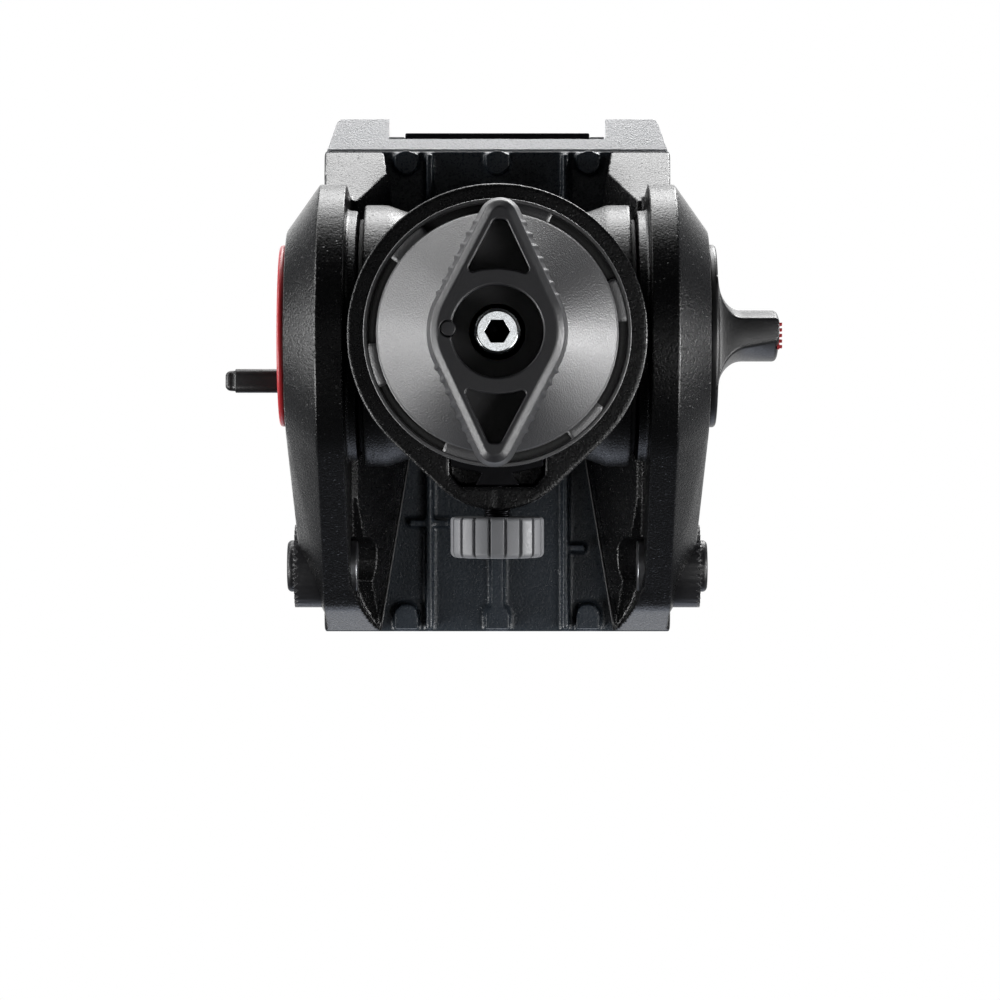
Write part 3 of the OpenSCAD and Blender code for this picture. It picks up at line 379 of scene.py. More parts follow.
def add(tree, kind, settings=None, **links):
    """A node with its settings and the links to it from other nodes' sockets.

    A setting is named for its socket, or else for its property.
    A link is named for its socket, with _ for a space, or by i and the socket's number."""
    made = tree.nodes.new(kind)
    for key, value in (settings or {}).items():
        if key in made.inputs:
            made.inputs[key].default_value = value
        else:
            setattr(made, key, value)
    for key, source in links.items():
        numbered = key[0] == "i" and key[1:].isdigit()
        tree.links.new(source, made.inputs[int(key[1:]) if numbered else key.replace("_", " ")])
    return made


def bare_tree(owner):
    """The emptied node tree of a new material or world."""
    owner.use_nodes = True
    owner.node_tree.nodes.clear()
    return owner.node_tree


def surface(name, dark, light, cloud, settings, cloud_detail=2.0):
    """A shader on Object coordinates, its colour drifting from dark to light over cloud millimetres."""
    material = bpy.data.materials.new(name)
    tree = bare_tree(material)
    where = add(tree, "ShaderNodeTexCoord").outputs["Object"]
    drift = add(tree, "ShaderNodeTexNoise",
                {"Scale": 1 / (cloud * MM), "Detail": cloud_detail}, Vector=where)
    colour = add(tree, "ShaderNodeValToRGB", Fac=drift.outputs["Fac"])
    colour.color_ramp.elements[0].color = rgb(dark)
    colour.color_ramp.elements[1].color = rgb(light)
    shader = add(tree, "ShaderNodeBsdfPrincipled", settings, Base_Color=colour.outputs["Color"])
    add(tree, "ShaderNodeOutputMaterial", Surface=shader.outputs["BSDF"])
    return material, tree, shader, where


def textured(tree, shader, grain, roughness, relief, depth, strength):
    """Roughness that follows a grain between two values, and a relief of depth millimetres."""
    span = {"From Min": GRAIN_LOW, "From Max": GRAIN_HIGH, "To Min": roughness[0], "To Max": roughness[1]}
    rough = add(tree, "ShaderNodeMapRange", span, Value=grain)
    bump = add(tree, "ShaderNodeBump", {"Distance": depth * MM, "Strength": strength}, Height=relief)
    tree.links.new(rough.outputs["Result"], shader.inputs["Roughness"])
    tree.links.new(bump.outputs["Normal"], shader.inputs["Normal"])


def textured_powder_coat(name, dark, light):
    """Epoxy powder coat on cast aluminium: an even leather grain, with round specks scattered over it.

    A speck stands in each cell that its chance picks, highest at the cell's point."""
    leather_size, speck_pitch, speck_r, speck_height, cloud = 0.75, 1.3, 0.24, 0.8, 24
    material, tree, shader, where = surface(name, dark, light, cloud, {"IOR": 1.5})
    leather = add(tree, "ShaderNodeTexNoise",
                  {"Scale": 1 / (leather_size * MM), "Detail": 3.0, "Roughness": 0.55}, Vector=where)
    cells = add(tree, "ShaderNodeTexVoronoi",
                {"Scale": 1 / (speck_pitch * MM), "Randomness": 1.0}, Vector=where)
    chance = add(tree, "ShaderNodeSeparateColor", Color=cells.outputs["Color"])
    picked = add(tree, "ShaderNodeMapRange", {"From Min": 0.55, "From Max": 0.6},
                 Value=chance.outputs["Red"])
    speck = add(tree, "ShaderNodeMapRange", {"From Max": speck_r, "To Min": 1.0, "To Max": 0.0},
                Value=cells.outputs["Distance"])
    dots = add(tree, "ShaderNodeMath", {"operation": "MULTIPLY"},
               i0=picked.outputs["Result"], i1=speck.outputs["Result"])
    relief = add(tree, "ShaderNodeMath", {"operation": "MULTIPLY_ADD"},
                 i0=dots.outputs["Value"], i2=leather.outputs["Fac"])
    relief.inputs[1].default_value = speck_height
    textured(tree, shader, leather.outputs["Fac"], (0.24, 0.34), relief.outputs["Value"], 0.15, 1.0)
    return material


def moulded(name, dark, light, roughness, size, depth, coat=0.0, ior=1.5):
    """Plastic, rubber or enamel with an even pebble of size millimetres, as a spark-eroded tool gives."""
    cloud = 9
    settings = {"IOR": ior, "Coat Weight": coat, "Coat Roughness": 0.42}
    material, tree, shader, where = surface(name, dark, light, cloud, settings)
    noise = add(tree, "ShaderNodeTexNoise", {"Scale": 1 / (size * MM), "Detail": 1.5}, Vector=where)
    pebble = noise.outputs["Fac"]
    textured(tree, shader, pebble, roughness, pebble, depth, 0.8)
    return material


def metal(name, dark, light, roughness, stretch=(1, 1, 1), depth=0.02):
    """Machined or plated metal, with tool lines that stretch draws out along an axis.

    Real tool lines are too fine to show, so these are drawn 0.25 mm apart."""
    line_pitch, cloud = 0.25, 3
    material, tree, shader, where = surface(name, dark, light, cloud, {"Metallic": 1.0})
    drawn = add(tree, "ShaderNodeMapping", {"Scale": stretch}, Vector=where).outputs["Vector"]
    noise = add(tree, "ShaderNodeTexNoise", {"Scale": 1 / (line_pitch * MM), "Detail": 2.0}, Vector=drawn)
    lines = noise.outputs["Fac"]
    textured(tree, shader, lines, roughness, lines, depth, 0.5)
    return material


def level_spirit():
    """Spirit in an acrylic vial: clear yellow-green, with a faint swirl of about 4 mm."""
    settings = {"IOR": 1.4, "Transmission Weight": 0.6, "Roughness": 0.05}
    return surface("level_spirit", "#9FB53A", "#C3D65A", 4, settings, 1.0)[0]


ALONG_Y = (1, 0.05, 1)
FINISH = {
    # Deep black, with a leather grain that breaks up every highlight
    "cast_black": textured_powder_coat("black_powder_coat", "#070708", "#0C0C0D"),
    # Baked enamel on aluminium: near black, with an even soft sheen
    "satin_black": moulded("satin_black_enamel", "#18181A", "#222224", (0.34, 0.48), 0.7, 0.04),
    # Dark grey, with deep pebbles that glint where the light grazes them
    "bell_plastic": moulded("bell_spark_eroded_nylon", "#242426", "#2C2C2E", (0.42, 0.56), 0.5, 0.18,
                            coat=0.5, ior=2.0),
    # Charcoal, with a broad sheen along its edges
    "handle_plastic": moulded("handle_glass_filled_nylon", "#1C1C1F", "#252528", (0.38, 0.5), 0.6, 0.05,
                              ior=1.7),
    # A pale, cloudy mirror
    "bright_zinc": metal("bright_zinc_plate", "#D2D6D9", "#ECEFF0", (0.12, 0.2), depth=0.003),
    # Mid grey, with blurred reflections
    "steel": metal("turned_steel", "#8A8B8E", "#A2A3A6", (0.3, 0.45)),
    # Pale grey, brushed along Y by the cutter
    "machined_alu": metal("milled_aluminium", "#9C9DA0", "#B6B7BA", (0.35, 0.5), ALONG_Y),
    # Warm yellow, with blurred reflections
    "brass": metal("turned_brass", "#A88A45", "#C4A55C", (0.3, 0.45)),
    # Mid grey and matt
    "knob_grey": moulded("knob_grey_nylon", "#6A6B6E", "#78797C", (0.38, 0.52), 0.6, 0.05),
    # Black, a little glossier than the coats round it
    "control_black": moulded("control_black_abs", "#151516", "#1D1D1E", (0.3, 0.44), 0.5, 0.04),
    # A full red under a clear coat, with a wet edge
    "signal_red": moulded("red_anodised_look_abs", "#B4262C", "#C02E34", (0.3, 0.42), 0.5, 0.03,
                          coat=0.4),
    # Near-black metal, brushed along Y by the cutter
    "anodised_black": metal("black_anodised_aluminium", "#1E1E20", "#29292B", (0.36, 0.5), ALONG_Y),
    # Black and dull
    "rubber": moulded("moulded_black_rubber", "#161616", "#1D1D1D", (0.6, 0.8), 0.4, 0.05),
    "level_fluid": level_spirit(),
}
# The deck's coat: a lighter, bluer copy of the black powder coat that parts it from the black arms, painted
# light from below and behind
DECK_COAT_PAINTED_LIGHT = textured_powder_coat("deck_powder_coat_painted_light", "#262C32", "#343A41")
# The plate holder's coat: the black powder coat painted light grey, a painted highlight of the light from
# the front
HOLDER_COAT_PAINTED_LIGHT = textured_powder_coat("holder_powder_coat_painted_light", "#A2A3A6", "#B6B7BA")
# The lock screw's oxide: dark, with a dull gleam on each thread
BLACK_STEEL = metal("black_oxide_steel", "#2A2A2C", "#37373A", (0.3, 0.42))


# Bowl clamp

BELL_LOW, BELL_HIGH = size_of("clamp_bell")
BELL_R = BELL_HIGH[0]
HANDLE_LOW, HANDLE_HIGH = size_of("clamp_handle")
HANDLE_TURN = math.radians(1.4)
STUD_BORE_R = 5.4


def clamp_bell():
    """Cone with a straight lip: a line in radius and height, with rounded corners, carried round Z."""
    end_r, lip_height, wall = 16, 2, 3
    low, top, inner = BELL_LOW[2], BELL_HIGH[2], BELL_R - wall
    lip = top - lip_height
    corners = [[BELL_R, top], [inner, top], [inner, lip], [end_r, low + wall], [end_r, low], [BELL_R, lip]]
    profile = rounded(corners, [0.5, 0.3, 0, 0, 0.3, 1.6], 8)
    dress(lathe("clamp_bell_cone", profile, count=240), "clamp_knob", "clamp_bell")


def clamp_ring():
    """Ring with six blind slots: a flange, a rim, and bridges between the slots, over a floor in the black
    rubber finish that is painted shade.

    Its low face rises by slope (r - edge) from the bell's edge, and a chamfer leads to the rim."""
    ring_low, ring_high = size_of("clamp_ring")
    low, high, reach = ring_low[2], ring_high[2], ring_high[0]
    slots, slot_arc, first_slot = 6, 40, 15
    edge, slot_in, slot_out, slope = BELL_R - 0.5, BELL_R + 0.3, reach - 1.5, 0.6
    chamfer_width, chamfer_height = 0.55, 0.7
    face_in, face_out = low + slope * (slot_in - edge), low + slope * (slot_out - edge)
    flange = rounded(
        [[STUD_BORE_R, low], [edge, low], [slot_in, face_in], [slot_in, high], [STUD_BORE_R, high]],
        [0, 0.1, 0.1, 0, 0], 4)
    rim = rounded(
        [[slot_out, face_out + chamfer_height], [slot_out + chamfer_width, face_out], [reach, face_out],
         [reach, high], [slot_out, high]],
        [0.1, 0.15, 0.3, 0.1, 0], 4)
    bridge_in, bridge_out, bridge_top = slot_in - 0.1, slot_out + 0.6, high - 0.2
    bridge = np.array([[bridge_in, face_in - 0.05 * slope], [bridge_out, face_out + 0.6 * slope],
                       [bridge_out, bridge_top], [bridge_in, bridge_top]])
    pieces = [lathe("ring_flange", flange), lathe("ring_rim", rim)]
    pitch = 360 / slots
    half = (pitch - slot_arc) / 2
    for i in range(slots):
        middle = first_slot + pitch * (i + 0.5)
        pieces.append(sector(f"ring_bridge_{i}", bridge, middle - half, middle + half, 12))
    dress(evened(joined("clamp_ring_slotted", pieces)), "clamp_ring", "clamp_ring")
    # Painted shade: the slots' floor is black, in the rubber finish, standing for the shade inside the slots
    floor = band(slot_in - 1, slot_out + 0.1, high - 0.5, high - 0.1)
    trim(lathe("clamp_ring_slot_shade_floor", floor), "clamp_ring", "rubber")


def diamond(waist_r, tip_r, reach, count=480):
    """Two tip arcs and two waist arcs joined by their common tangents, anticlockwise."""
    tip_y = reach - tip_r
    lean = math.degrees(math.asin((waist_r - tip_r) / tip_y))
    outline = np.concatenate([
        arc((0, 0), waist_r, -lean, lean, 24),
        arc((0, tip_y), tip_r, lean, 180 - lean, 24),
        arc((0, 0), waist_r, 180 - lean, 180 + lean, 24),
        arc((0, -tip_y), tip_r, 180 + lean, 360 - lean, 24),
    ])
    return resampled(outline, count)


def handle_hole(name, outline, depth, lip):
    """A cutter for the handle's underside: an outline whose mouth flares by a quarter round of lip."""
    low = HANDLE_LOW[2]
    insets, drops = edge_round(lip, 5)
    flare = np.concatenate([[-lip], -insets, [0.0]])
    heights = np.concatenate([[low - 2], low + drops, [low + depth]])
    return loft(name, spun(at_heights(resampled(outline, 160), flare, heights), HANDLE_TURN))


def clamp_handle():
    """Wing handle: a diamond with a soft rim, drafted and ridged sides, a round recess and two windows.

    A ridge stands ridge max(0, cos(turn y / pitch)) ^ 1.5 off the side. It fades at the rim and ends."""
    waist, tip, draft, rim, soft = 18.9, 4.7, 1.5, 2.3, 0.7
    ridge_pitch, ridge, ridge_start, ridge_stop, ridge_fade = 3.4, 0.55, 7, 5, 2
    low, top = HANDLE_LOW[2], BELL_LOW[2] + 10
    reach = HANDLE_HIGH[1] - draft
    outline = diamond(waist, tip, reach)
    soft_in, soft_down = edge_round(soft, 4)
    slope = np.linspace(0, 1, 5)[1:]
    insets = np.concatenate([[rim + 0.25], rim - 0.9 * slope * rim, 0.1 * rim * (soft_in[1:] / soft)])
    drops = np.concatenate([[0], 0.08 + 0.75 * slope * rim, 0.83 * rim + soft_down[1:]])
    foot = drops[-1]
    heights = np.concatenate([low + drops, np.linspace(low + foot + 0.4, top, 8)])
    insets = np.concatenate([insets, -draft * (heights[len(drops):] - low - foot) / (top - low - foot)])
    sections = at_heights(outline, insets, heights)
    y = outline[:, 1]
    fade_in = np.clip((np.abs(y) - ridge_start) / ridge_fade, 0, 1)
    fade_out = np.clip((reach - ridge_stop - np.abs(y)) / ridge_fade, 0, 1)
    wave = ridge * np.maximum(0, np.cos(TURN * y / ridge_pitch)) ** 1.5 * fade_in * fade_out
    grows = np.clip((heights - low - rim) / 2.5, 0, 1)[:, None, None]
    sections[..., :2] += outward(outline)[None] * wave[None, :, None] * grows
    body = loft("clamp_handle_wing", spun(sections, HANDLE_TURN))

    recess_r, recess_depth, window_depth = 12.9, size_of("handle_insert")[0][2] - low, 14
    base, base_half, bow, apex, apex_half = recess_r + 2.8, 9.4, 1.4, reach - 5.6, 1.7
    window = rounded(
        [[base_half, base], [apex_half, apex], [-apex_half, apex], [-base_half, base],
         [-base_half * 0.5, base + bow], [0, base + 1.9], [base_half * 0.5, base + bow]],
        [1.6, 1.6, 1.6, 1.6, 4, 6, 4], 6)
    pocket_at, pocket_r, pin_at, pin_r, pin_top = (13.7, 0.4), 2.45, (13.69, 0.73, 0), 2.1, top - 4
    carved(body, [
        handle_hole("recess", arc((0, 0), recess_r, 0, 357, 120), recess_depth, 0.7),
        handle_hole("window_front", window, window_depth, 0.6),
        handle_hole("window_rear", -window, window_depth, 0.6),
        handle_hole("pin_pocket", arc(pocket_at, pocket_r, 0, 350, 36), 6, 0.25),
    ])
    pin_low = low + 0.15
    pin = rounded([[0, pin_low], [pin_r - 0.2, pin_low], [pin_r, low + 0.5], [pin_r, pin_top], [0, pin_top]],
                  [0, 0.2, 0.2, 0, 0])
    boss = lathe("handle_pin", pin, centre=pin_at, count=40, closed=False)
    dress(evened(joined("clamp_handle_wing", [body, boss])), "clamp_knob", "clamp_handle")


def stop_screw():
    """Socket head: a hexagon that opens from the socket's floor to a round, chamfered head.

    The hexagon's radius is half its width over cos(a - the middle of its side), and its walls are painted
    near-black as painted shade."""
    screw_low, screw_high = size_of("stop_screw")
    low, high, r = screw_low[2], screw_high[2], screw_high[0]
    half_width, count = 3.0, 120
    a = np.arange(count) * TURN / count
    circle = np.stack([np.cos(a), np.sin(a)], 1)
    hexagon = circle * (half_width / np.cos((a % (TURN / 6)) - TURN / 12))[:, None]
    rings = [(hexagon * 0.02, low + 6.2), (hexagon, low + 4.0), (hexagon, low + 0.4),
             (hexagon * 1.03, low + 0.1), (hexagon * 1.06, low), (hexagon * 1.08, low),
             (circle * (r - 1.0), low), (circle * (r - 0.9), low), (circle * (r - 0.4), low + 0.2),
             (circle * (r - 0.1), low + 0.6), (circle * r, low + 1.1), (circle * r, high - 0.2),
             (circle * (r - 0.2), high)]
    sections = np.stack([np.concatenate([ring, np.full((count, 1), z)], 1) for ring, z in rings])
    screw = dress(evened(loft("stop_screw_socket_head", sections)), "base", "stop_screw")
    # Painted shade: the faces inside the socket take the near-black finish, standing for the shade in it
    screw.data.materials.append(FINISH["anodised_black"])
    middles = np.empty(3 * len(screw.data.polygons))
    screw.data.polygons.foreach_get("center", middles)
    x, y, z = middles.reshape(-1, 3).T / MM
    inside = (np.hypot(x, y) < half_width * 1.16) & (z > low + 0.15) & (z < low + 6.5)
    screw.data.polygons.foreach_set("material_index", inside.astype(np.int32))


# Base


def half_ball():
    """Bowl ball: an arc in radius and height down to a flat foot, with a hollow under its web, round Z."""
    ball_low, ball_high = size_of("half_ball")
    r, low, high = ball_high[0], ball_low[2], ball_high[2]
    hollow_r, web, hollow_break, foot_break, rim_break = 22, high - 11, 0.5, 0.6, 0.4
    bowl = arc((0, 0), r, math.degrees(math.asin(low / r)), 0, 40)
    inside = [[STUD_BORE_R, high], [STUD_BORE_R, web], [hollow_r, web], [hollow_r, low + hollow_break],
              [hollow_r + hollow_break, low], [bowl[0, 0] - foot_break, low]]
    profile = np.concatenate([inside, bowl, [[r, high - rim_break], [r - rim_break, high]]])
    dress(lathe("half_ball_turned", profile), "base", "half_ball")


def pan_drag_ring():
    """Ring whose rim is cut by fine grip grooves: r - depth max(0, cos(count a)) squared."""
    ring_low, ring_high = size_of("pan_drag_ring")
    low, high, r = ring_low[2], ring_high[2], ring_high[0]
    inner = size_of("base_plate")[1][0] + 0.3
    groove_count, groove_depth, rim_width = 60, 0.5, 1.2
    profile = rounded(band(inner, r, low, high), [0.2, 0.6, 0.6, 0.2], 5)

    def grooves(a, radius, h):
        """The grooves at full depth on the rim, and none inside its width."""
        rim = np.clip((radius - r + rim_width) / rim_width, 0, 1)
        return radius - groove_depth * rim * np.maximum(0, np.cos(groove_count * a)) ** 2, h

    dress(lathe("pan_drag_ring_grip", profile, count=720, shape=grooves), "pan_drag_ring", "pan_drag_ring")


# Pan lock


def pan_lock_knob():
    """Fluted knob: wide flats parted by narrow grooves, where cos(count a) nears one."""
    low, high = size_of("pan_lock_knob")
    r, length, bore_r = high[0], high[1] - low[1], 4.1
    bore_end, dish, dish_depth = length * 0.6, r - 3.9, 0.8
    flute_count, flute_depth, flute_start, rim_width = 18, 1.1, 0.78, 2.5
    profile = rounded(
        [[bore_r, 0], [r, 0], [r, length], [dish + 0.5, length], [dish, length - dish_depth],
         [0, length - dish_depth], [0, bore_end], [bore_r, bore_end]],
        [0.3, 1.0, 2.0, 0.5, 0.5, 0, 0, 0.2], 7)

    def flutes(a, radius, h):
        """The grooves at full depth on the rim, and none inside its width."""
        rim = np.clip((radius - r + rim_width) / rim_width, 0, 1)
        groove = np.clip((np.cos(flute_count * a) - flute_start) / (1 - flute_start), 0, 1)
        return radius - flute_depth * rim * groove ** 0.6, h

    knob = lathe("pan_lock_knob_fluted", profile, "-y", (0, high[1], LOCK_Z), 720, shape=flutes)
    dress(knob, "pan_lock", "pan_lock_knob")


def pan_lock_screw():
    """Threaded rod: r - depth times the triangle wave of length / pitch - angle / turn."""
    low, high = size_of("pan_lock_screw")
    r, length, pitch, depth, rows_in_pitch = high[0], high[1] - low[1], 1.25, 0.6, 12
    h = np.linspace(0, length, int(length / pitch * rows_in_pitch))
    profile = np.concatenate([[[0, 0]], np.stack([np.full_like(h, r), h], 1), [[0, length]]])

    def thread(a, radius, height):
        """The thread on every point that isn't on the axis."""
        phase = (height / pitch - a / TURN) % 1
        return np.where(radius > 0, radius - depth * np.abs(2 * phase - 1), 0), height

    rod = lathe("pan_lock_screw_threaded", profile, "-y", (0, high[1], LOCK_Z), 48, False, thread)
    paint(dress(rod, "pan_lock", "pan_lock_screw"), BLACK_STEEL)


# Tilt controls, on the tilt axis

FACE = size_of("left_arm")[1][0] + 0.2


def dial_cap():
    """Shallow dome: a soft edge, then a crown that rises with the square of the distance from it."""
    _, high = size_of("dial_cap")
    r, crown, soft, foot_break = high[1], high[0], 0.9, 0.4
    edge = FACE + 0.55 * (crown - FACE)
    start = edge + soft / 2
    t = np.linspace(0, 1, 30)
    foot = [[0, FACE], [r - foot_break, FACE], [r, FACE + foot_break]]
    rim = arc((r - soft, edge - soft / 2), soft, 0, 80, 6)
    top = np.stack([(r - soft) * (1 - t), start + (crown - start) * (1 - (1 - t) ** 2)], 1)
    cap = lathe("dial_cap_domed", np.concatenate([foot, rim, top]), "x", (0, 0, TILT_Z), 200, False)
    dress(cap, "counterbalance_dial", "dial_cap")


def dial_tab():
    """Tab: a soft rectangle carried outwards, with a small step before its round end."""
    low, high = size_of("dial_tab")
    middle, half = (low + high) / 2, (high - low) / 2
    start, end, end_round, corner = low[0], high[0], 1.8, 2.2
    t = np.linspace(0, QUARTER, 9)
    along = np.concatenate([[start, start + 2, end - 3.3, end - 3.1, end - 3.0],
                            end - end_round + end_round * np.sin(t)])
    shrink = np.concatenate([[0, 0, 0, 0.1, 0.5], 0.55 + 1.7 * (1 - np.cos(t))])
    box = rounded(band(-half[2], half[2], -half[1], half[1]), corner, 6)
    flat = at_heights(resampled(box, 160), shrink, along)
    points = np.stack([flat[..., 2], middle[1] + flat[..., 1], middle[2] + flat[..., 0]], -1)
    dress(loft("dial_tab_grip", points), "counterbalance_dial", "dial_tab")


def tilt_lock_lever():
    """Wing lever on a disc, its bar swelling to the disc on each side.

    v(u) = t + wide (1 - sqrt(1 - ((neck - u) / long)^2)), where u runs outwards from the arm.
    t, the half thickness, falls with the square of the height."""
    low, high = size_of("tilt_lock_lever")
    out, disc_r = -low[0], high[1]
    disc_top, tip_round, half_t, end_start, end_round = FACE + 2.2, 1.4, 7.85, 0.94, 1.0
    root_w, tip_w = disc_r - 5, 18
    disc = rounded([[0, FACE], [disc_r, FACE], [disc_r, disc_top], [0, disc_top + 0.4]],
                   [0, 0.3, 1.4, 0], 6)
    plate = lathe("lever_disc", disc, "-x", (0, 0, TILT_Z), 160, False)
    along = np.concatenate([np.linspace(disc_top - 0.5, disc_top + 14, 40),
                            out - tip_round + tip_round * np.sin(np.linspace(0, QUARTER, 9))])
    share = (along - disc_top) / (out - disc_top)
    tip = np.maximum(0, along - out + tip_round)
    corner = tip_round - np.sqrt(tip_round ** 2 - tip ** 2)
    height = np.concatenate([np.linspace(-1, -end_start, 7), np.linspace(-0.9, 0.9, 21),
                             np.linspace(end_start, 1, 7)])[:, None]

    def side(long, wide, draft):
        """Half thickness over height and u, its ends rounded by a quarter ellipse."""
        gone = np.clip(disc_top + long - along, 0, long) / long
        swell = wide * (1 - np.sqrt(1 - gone ** 2))
        end = np.clip((np.abs(height) - end_start) / (1 - end_start), 0, 1)
        return half_t + swell - corner - draft * height ** 2 - end_round * (1 - np.sqrt(1 - end ** 2))

    front = side(7.5, 12.5, 2.6)
    rear = side(8, 11, 2.5 + 4.0 * share)
    u = np.concatenate([along, along[::-1]])[None] + 0 * height
    v = np.concatenate([-rear, front[:, ::-1]], 1)
    reach = root_w + (tip_w - root_w) * share
    w = height * np.concatenate([reach, reach[::-1]])[None]
    wing = loft("lever_wing", np.stack([-u, v, TILT_Z + w], -1))
    dress(joined("tilt_lock_lever_wing", [plate, wing]), "tilt_lock", "tilt_lock_lever")


def rosette(side, axis):
    """Radial teeth: height times the triangle wave of the angle, round a domed pilot boss."""
    low, high = size_of("left_rosette")
    pilot_r, pilot_height, tooth_height, teeth, hole_r = 8.1, 2.4, 1.4, 32, 4.0
    r, length = (high[1] - low[1]) / 2, high[0] - low[0]
    face = length - pilot_height
    profile = rounded(
        [[hole_r, 0], [r, 0], [r, face], [pilot_r + 0.1, face], [pilot_r, face - 1], [pilot_r, length],
         [hole_r, length - 0.2]],
        [0, 0.2, 0.1, 0, 0, 1.4, 0.5], 5)

    def toothed(a, radius, h):
        """The teeth cut down from the flat face outside the pilot."""
        ring = (np.abs(h - face) < 0.15) & (radius > pilot_r)
        wave = np.abs(2 * ((a * teeth / TURN) % 1) - 1)
        return radius, np.where(ring, h - tooth_height * wave, h)

    foot = low[0] if axis == "x" else -low[0]
    centre = (foot, (high[1] + low[1]) / 2, (high[2] + low[2]) / 2)
    disc = lathe(f"{side}_rosette_toothed", profile, axis, centre, 768, shape=toothed)
    dress(disc, "cradle", f"{side}_rosette")


def friction_seals():
    """Two flat rings round the tilt axis: a soft rectangle in radius and length, carried round X."""
    _, high = size_of("friction_seals")
    inner_r, start = 15, size_of("left_barrel_cap")[1][0]
    profile = rounded(band(inner_r, high[1], start, high[0]), 0.4, 4)
    rings = [lathe(f"seal_{axis}", profile, axis, (0, 0, TILT_Z)) for axis in ("x", "-x")]
    dress(joined("friction_seal_rings", rings), "pan_body", "friction_seals")


# Level


def level():
    """A cup with a thin wall, and a vial whose top falls with the square of the radius, both round Z."""
    cup_low, cup_high = size_of("level_cup")
    vial_low, vial_high = size_of("level_vial")
    centre = (0, (cup_low[1] + cup_high[1]) / 2, 0)
    r, low, high, wall, floor = cup_high[0], cup_low[2], cup_high[2], 1.2, cup_low[2] + 1
    cup = rounded([[0, low], [r, low], [r, high], [r - wall, high], [r - wall, floor], [0, floor]],
                  [0, 0.2, 0.4, 0.3, 0, 0], 4)
    ring = lathe("level_cup_ring", cup, centre=centre, count=96, closed=False)
    dress(ring, "pan_body", "level_cup")
    vial_r, crown = vial_high[0], 0.7
    t = np.linspace(0, 1, 12)
    dome = np.stack([vial_r * (1 - t), vial_high[2] - crown * (1 - t) ** 2], 1)
    vial = np.concatenate([[[0, vial_low[2]], [vial_r, vial_low[2]]], dome])
    clear = lathe("level_vial_clear", vial, centre=centre, count=96, closed=False)
    dress(clear, "pan_body", "level_vial")


# Castings and milled pieces


def castings():
    """The cast pieces, with even normals on the arms' long curves, and the deck in a lighter, bluer coat
    that is painted light.
    """
    cell, passes = 0.6, 3
    for node in ("pan_body", "left_arm", "right_arm", "deck"):
        casting = cast(node, f"{node}_casting", cell, passes)
        dress(settled(casting) if node.endswith("arm") else casting, BODY_OF[node], node)
        if node == "deck":
            # Painted light: the deck's lighter, bluer coat stands for light falling on it from below and
            # behind
            paint(casting, DECK_COAT_PAINTED_LIGHT)


def cheek_beads():
    """A thin bead along each cheek's inner rim: a circle carried along a straight line."""
    bead_r, sides, rings = 0.45, 12, 24
    deck_low, _ = size_of("deck")
    inner = np.array([25, -20, deck_low[2]])
    outer = np.array([37.2, deck_low[1] + 0.6, deck_low[2]])
    a = np.arange(sides)[:, None] * TURN / sides
    along = np.linspace(0, 1, rings)[:, None]
    spine = inner * (1 - along) + outer * along
    way = (outer - inner) / np.linalg.norm(outer - inner)
    across, up = np.array([way[1], -way[0], 0]), np.array([0, 0, 1])
    tube = spine[:, None] + bead_r * (np.cos(a) * across + np.sin(a) * up)[None]
    beads = [loft("bead_left", tube), loft("bead_right", tube * np.array([-1, 1, 1]))]
    trim(joined("cheek_edge_beads", beads), "cradle", "satin_black")


def milled_pieces():
    """The blocks, bars and screws, each with the width of its rounded edges, the plate holder in a light
    grey that is painted light.
    """
    for node, name, width in (
        ("plate_holder", "plate_holder_rails", 0.7),
        ("camera_plate", "camera_plate_dovetail", 0.5),
        ("fixed_guide", "fixed_guide_bar", 0.3),
        ("plate_gib", "plate_gib_bar", 0.3),
        ("plate_lock_lever", "plate_lock_lever_moulded", 1.0),
        ("release_button", "release_button_cap", 0.6),
        ("plate_pads", "plate_pads_rubber", 0.3),
        ("front_camera_screw", "front_camera_screw_stud", 0.25),
        ("rear_camera_screw", "rear_camera_screw_stud", 0.25),
        ("lever_inlay", "lever_inlay_ridges", 0.12),
        ("pan_brake_shoe", "pan_brake_shoe_waisted", 0.5),
        ("rosette_bolts", "rosette_bolt_heads", 0.5),
    ):
        piece = dress(milled(node, name, width), BODY_OF[node], node)
        if node == "plate_holder":
            # Painted highlight: the holder's light grey stands for the front light on its faces
            paint(piece, HOLDER_COAT_PAINTED_LIGHT)


def carried_over():
    """Nodes that stay as they are get their finish alone."""
    for node, obj in frame["nodes"].items():
        paint(obj, FINISH[SLOT_OF[node]])


# Stage, light and camera


def stage():
    """A pale floor just under the handle. From below, and to light, it isn't there."""
    reach, z = 3000, HANDLE_LOW[2] - 0.3
    corners = [[-reach, -reach, z], [reach, -reach, z], [reach, reach, z], [-reach, reach, z]]
    floor = new_mesh("floor", corners, [[0, 1, 2, 3]])
    material = bpy.data.materials.new("pale_floor")
    tree = bare_tree(material)
    pale = add(tree, "ShaderNodeBsdfDiffuse", {"Color": rgb("#F2F2F2")})
    clear = add(tree, "ShaderNodeBsdfTransparent")
    back = add(tree, "ShaderNodeNewGeometry").outputs["Backfacing"]
    seen = add(tree, "ShaderNodeLightPath").outputs["Is Camera Ray"]
    front = add(tree, "ShaderNodeMath", {"operation": "SUBTRACT", "use_clamp": True}, i0=seen, i1=back)
    mix = add(tree, "ShaderNodeMixShader", Fac=front.outputs["Value"],
              i1=clear.outputs["BSDF"], i2=pale.outputs["BSDF"])
    add(tree, "ShaderNodeOutputMaterial", Surface=mix.outputs["Shader"])
    paint(floor, material)


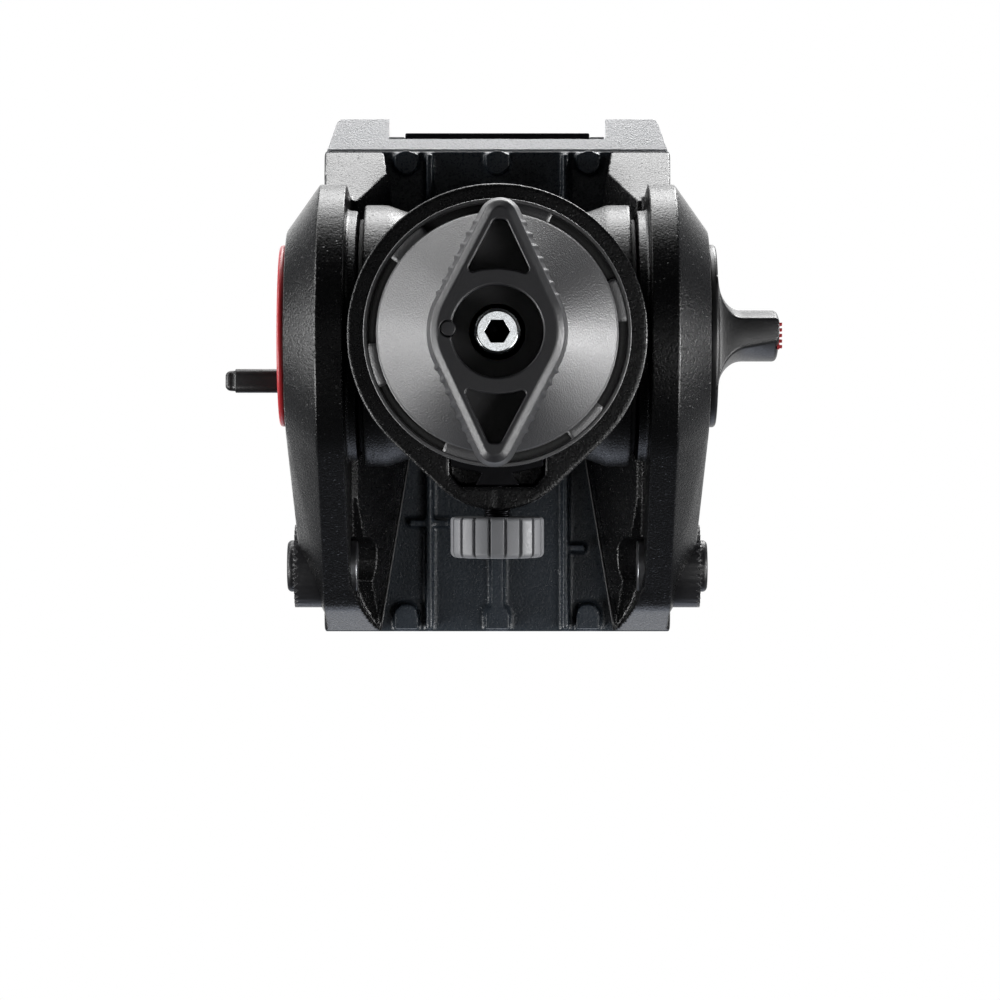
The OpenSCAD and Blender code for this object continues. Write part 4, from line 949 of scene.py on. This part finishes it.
def world():
    """White behind the object, and overhead in metal and gloss. As light, grey above and dark below."""
    made = bpy.data.worlds.new("studio")
    bpy.context.scene.world = made
    tree = bare_tree(made)
    where = add(tree, "ShaderNodeTexCoord").outputs["Generated"]
    height = add(tree, "ShaderNodeSeparateXYZ", Vector=where).outputs["Z"]
    sky = add(tree, "ShaderNodeMapRange",
              {"From Min": -0.2, "From Max": 0.9, "To Min": 0.01, "To Max": 0.15}, Value=height)
    soft = add(tree, "ShaderNodeBackground", {"Color": rgb("#F4F7FF")}, Strength=sky.outputs["Result"])
    white = add(tree, "ShaderNodeBackground", {"Color": rgb("#FFFFFF"), "Strength": 1.0})
    path = add(tree, "ShaderNodeLightPath").outputs
    gloss = add(tree, "ShaderNodeMath", {"operation": "MAXIMUM"},
                i0=path["Is Glossy Ray"], i1=path["Is Transmission Ray"])
    overhead = add(tree, "ShaderNodeMapRange", {"From Min": 0.75, "From Max": 0.95}, Value=height)
    shown = add(tree, "ShaderNodeMath", {"operation": "MULTIPLY"},
                i0=gloss.outputs["Value"], i1=overhead.outputs["Result"])
    seen = add(tree, "ShaderNodeMath", {"operation": "MAXIMUM"},
               i0=path["Is Camera Ray"], i1=shown.outputs["Value"])
    mix = add(tree, "ShaderNodeMixShader", Fac=seen.outputs["Value"],
              i1=soft.outputs["Background"], i2=white.outputs["Background"])
    add(tree, "ShaderNodeOutputWorld", Surface=mix.outputs["Shader"])


def lamp(name, place, aim, size, power, tint="#FFFFFF"):
    """A rectangular softbox at a place, turned to its aim, in metres and watts."""
    data = bpy.data.lights.new(name, "AREA")
    data.shape = "RECTANGLE"
    data.size, data.size_y = size
    data.energy = power
    data.color = rgb(tint)[:3]
    obj = linked(name, data)
    obj.location = place
    obj.rotation_euler = (Vector(place) - Vector(aim)).to_track_quat("Z", "Y").to_euler()
    obj.visible_camera = False


def lights():
    """Softboxes ahead, behind and above, level and low ones at both sides, and a weak one at the lens."""
    heart, front = (0, 0, 0.03), (0, 0.03, 0.06)
    lamp("front_softbox", (0, 0.95, 0.69), front, (0.5, 0.7), 8)
    lamp("front_strip", (0, 1.14, 0.21), front, (0.6, 0.3), 1.5)
    lamp("front_left_softbox", (0.54, 0.94, 0.44), heart, (0.4, 0.6), 3.5)
    lamp("front_right_softbox", (-0.41, 0.72, 0.85), heart, (0.4, 0.4), 7)
    lamp("left_softbox", (1.15, 0, 0.07), heart, (0.4, 0.55), 6)
    lamp("left_front_softbox", (0.99, 0.57, -0.07), heart, (0.4, 0.4), 4)
    lamp("left_rear_low", (0.98, -0.47, -0.28), heart, (0.4, 0.4), 7)
    lamp("right_softbox", (-1.14, -0.08, -0.05), (0, 0, 0.0), (0.3, 0.3), 10)
    lamp("right_rear_low", (-0.97, -0.52, -0.29), heart, (0.4, 0.4), 5)
    lamp("right_under", (-0.57, -0.33, -0.89), heart, (0.4, 0.4), 3)
    lamp("left_under", (0.81, -0.47, -0.63), heart, (0.4, 0.4), 2)
    lamp("rear_softbox", (0, -0.83, 0.85), (0, 0, 0.08), (0.9, 0.4), 1.2, "#E4ECFF")
    lamp("top_softbox", (0.3, 0.2, 1.5), (0, 0, 0.1), (1.2, 1.2), 2.5)
    lamp("lens_light", (0, -0.015, -1.5), (0, 0, 0), (0.17, 0.17), 0.14)


def camera():
    """Straight up the pan axis from 1.35 m below the half ball's centre."""
    data = bpy.data.cameras.new("photo_camera")
    data.sensor_width = 36
    data.lens = 165.6
    data.shift_x, data.shift_y = 0.0027, -0.115
    data.clip_start, data.clip_end = 0.05, 50
    obj = linked("photo_camera", data)
    obj.location = (0, -0.01503, -1.346)
    obj.rotation_euler = (0, math.pi, 0)
    bpy.context.scene.camera = obj


carried_over()
clamp_bell()
clamp_ring()
clamp_handle()
stop_screw()
half_ball()
pan_drag_ring()
pan_lock_knob()
pan_lock_screw()
dial_cap()
dial_tab()
tilt_lock_lever()
rosette("left", "x")
rosette("right", "-x")
friction_seals()
level()
castings()
cheek_beads()
milled_pieces()
stage()
world()
lights()
camera()
bpy.context.scene.view_settings.view_transform = "Standard"
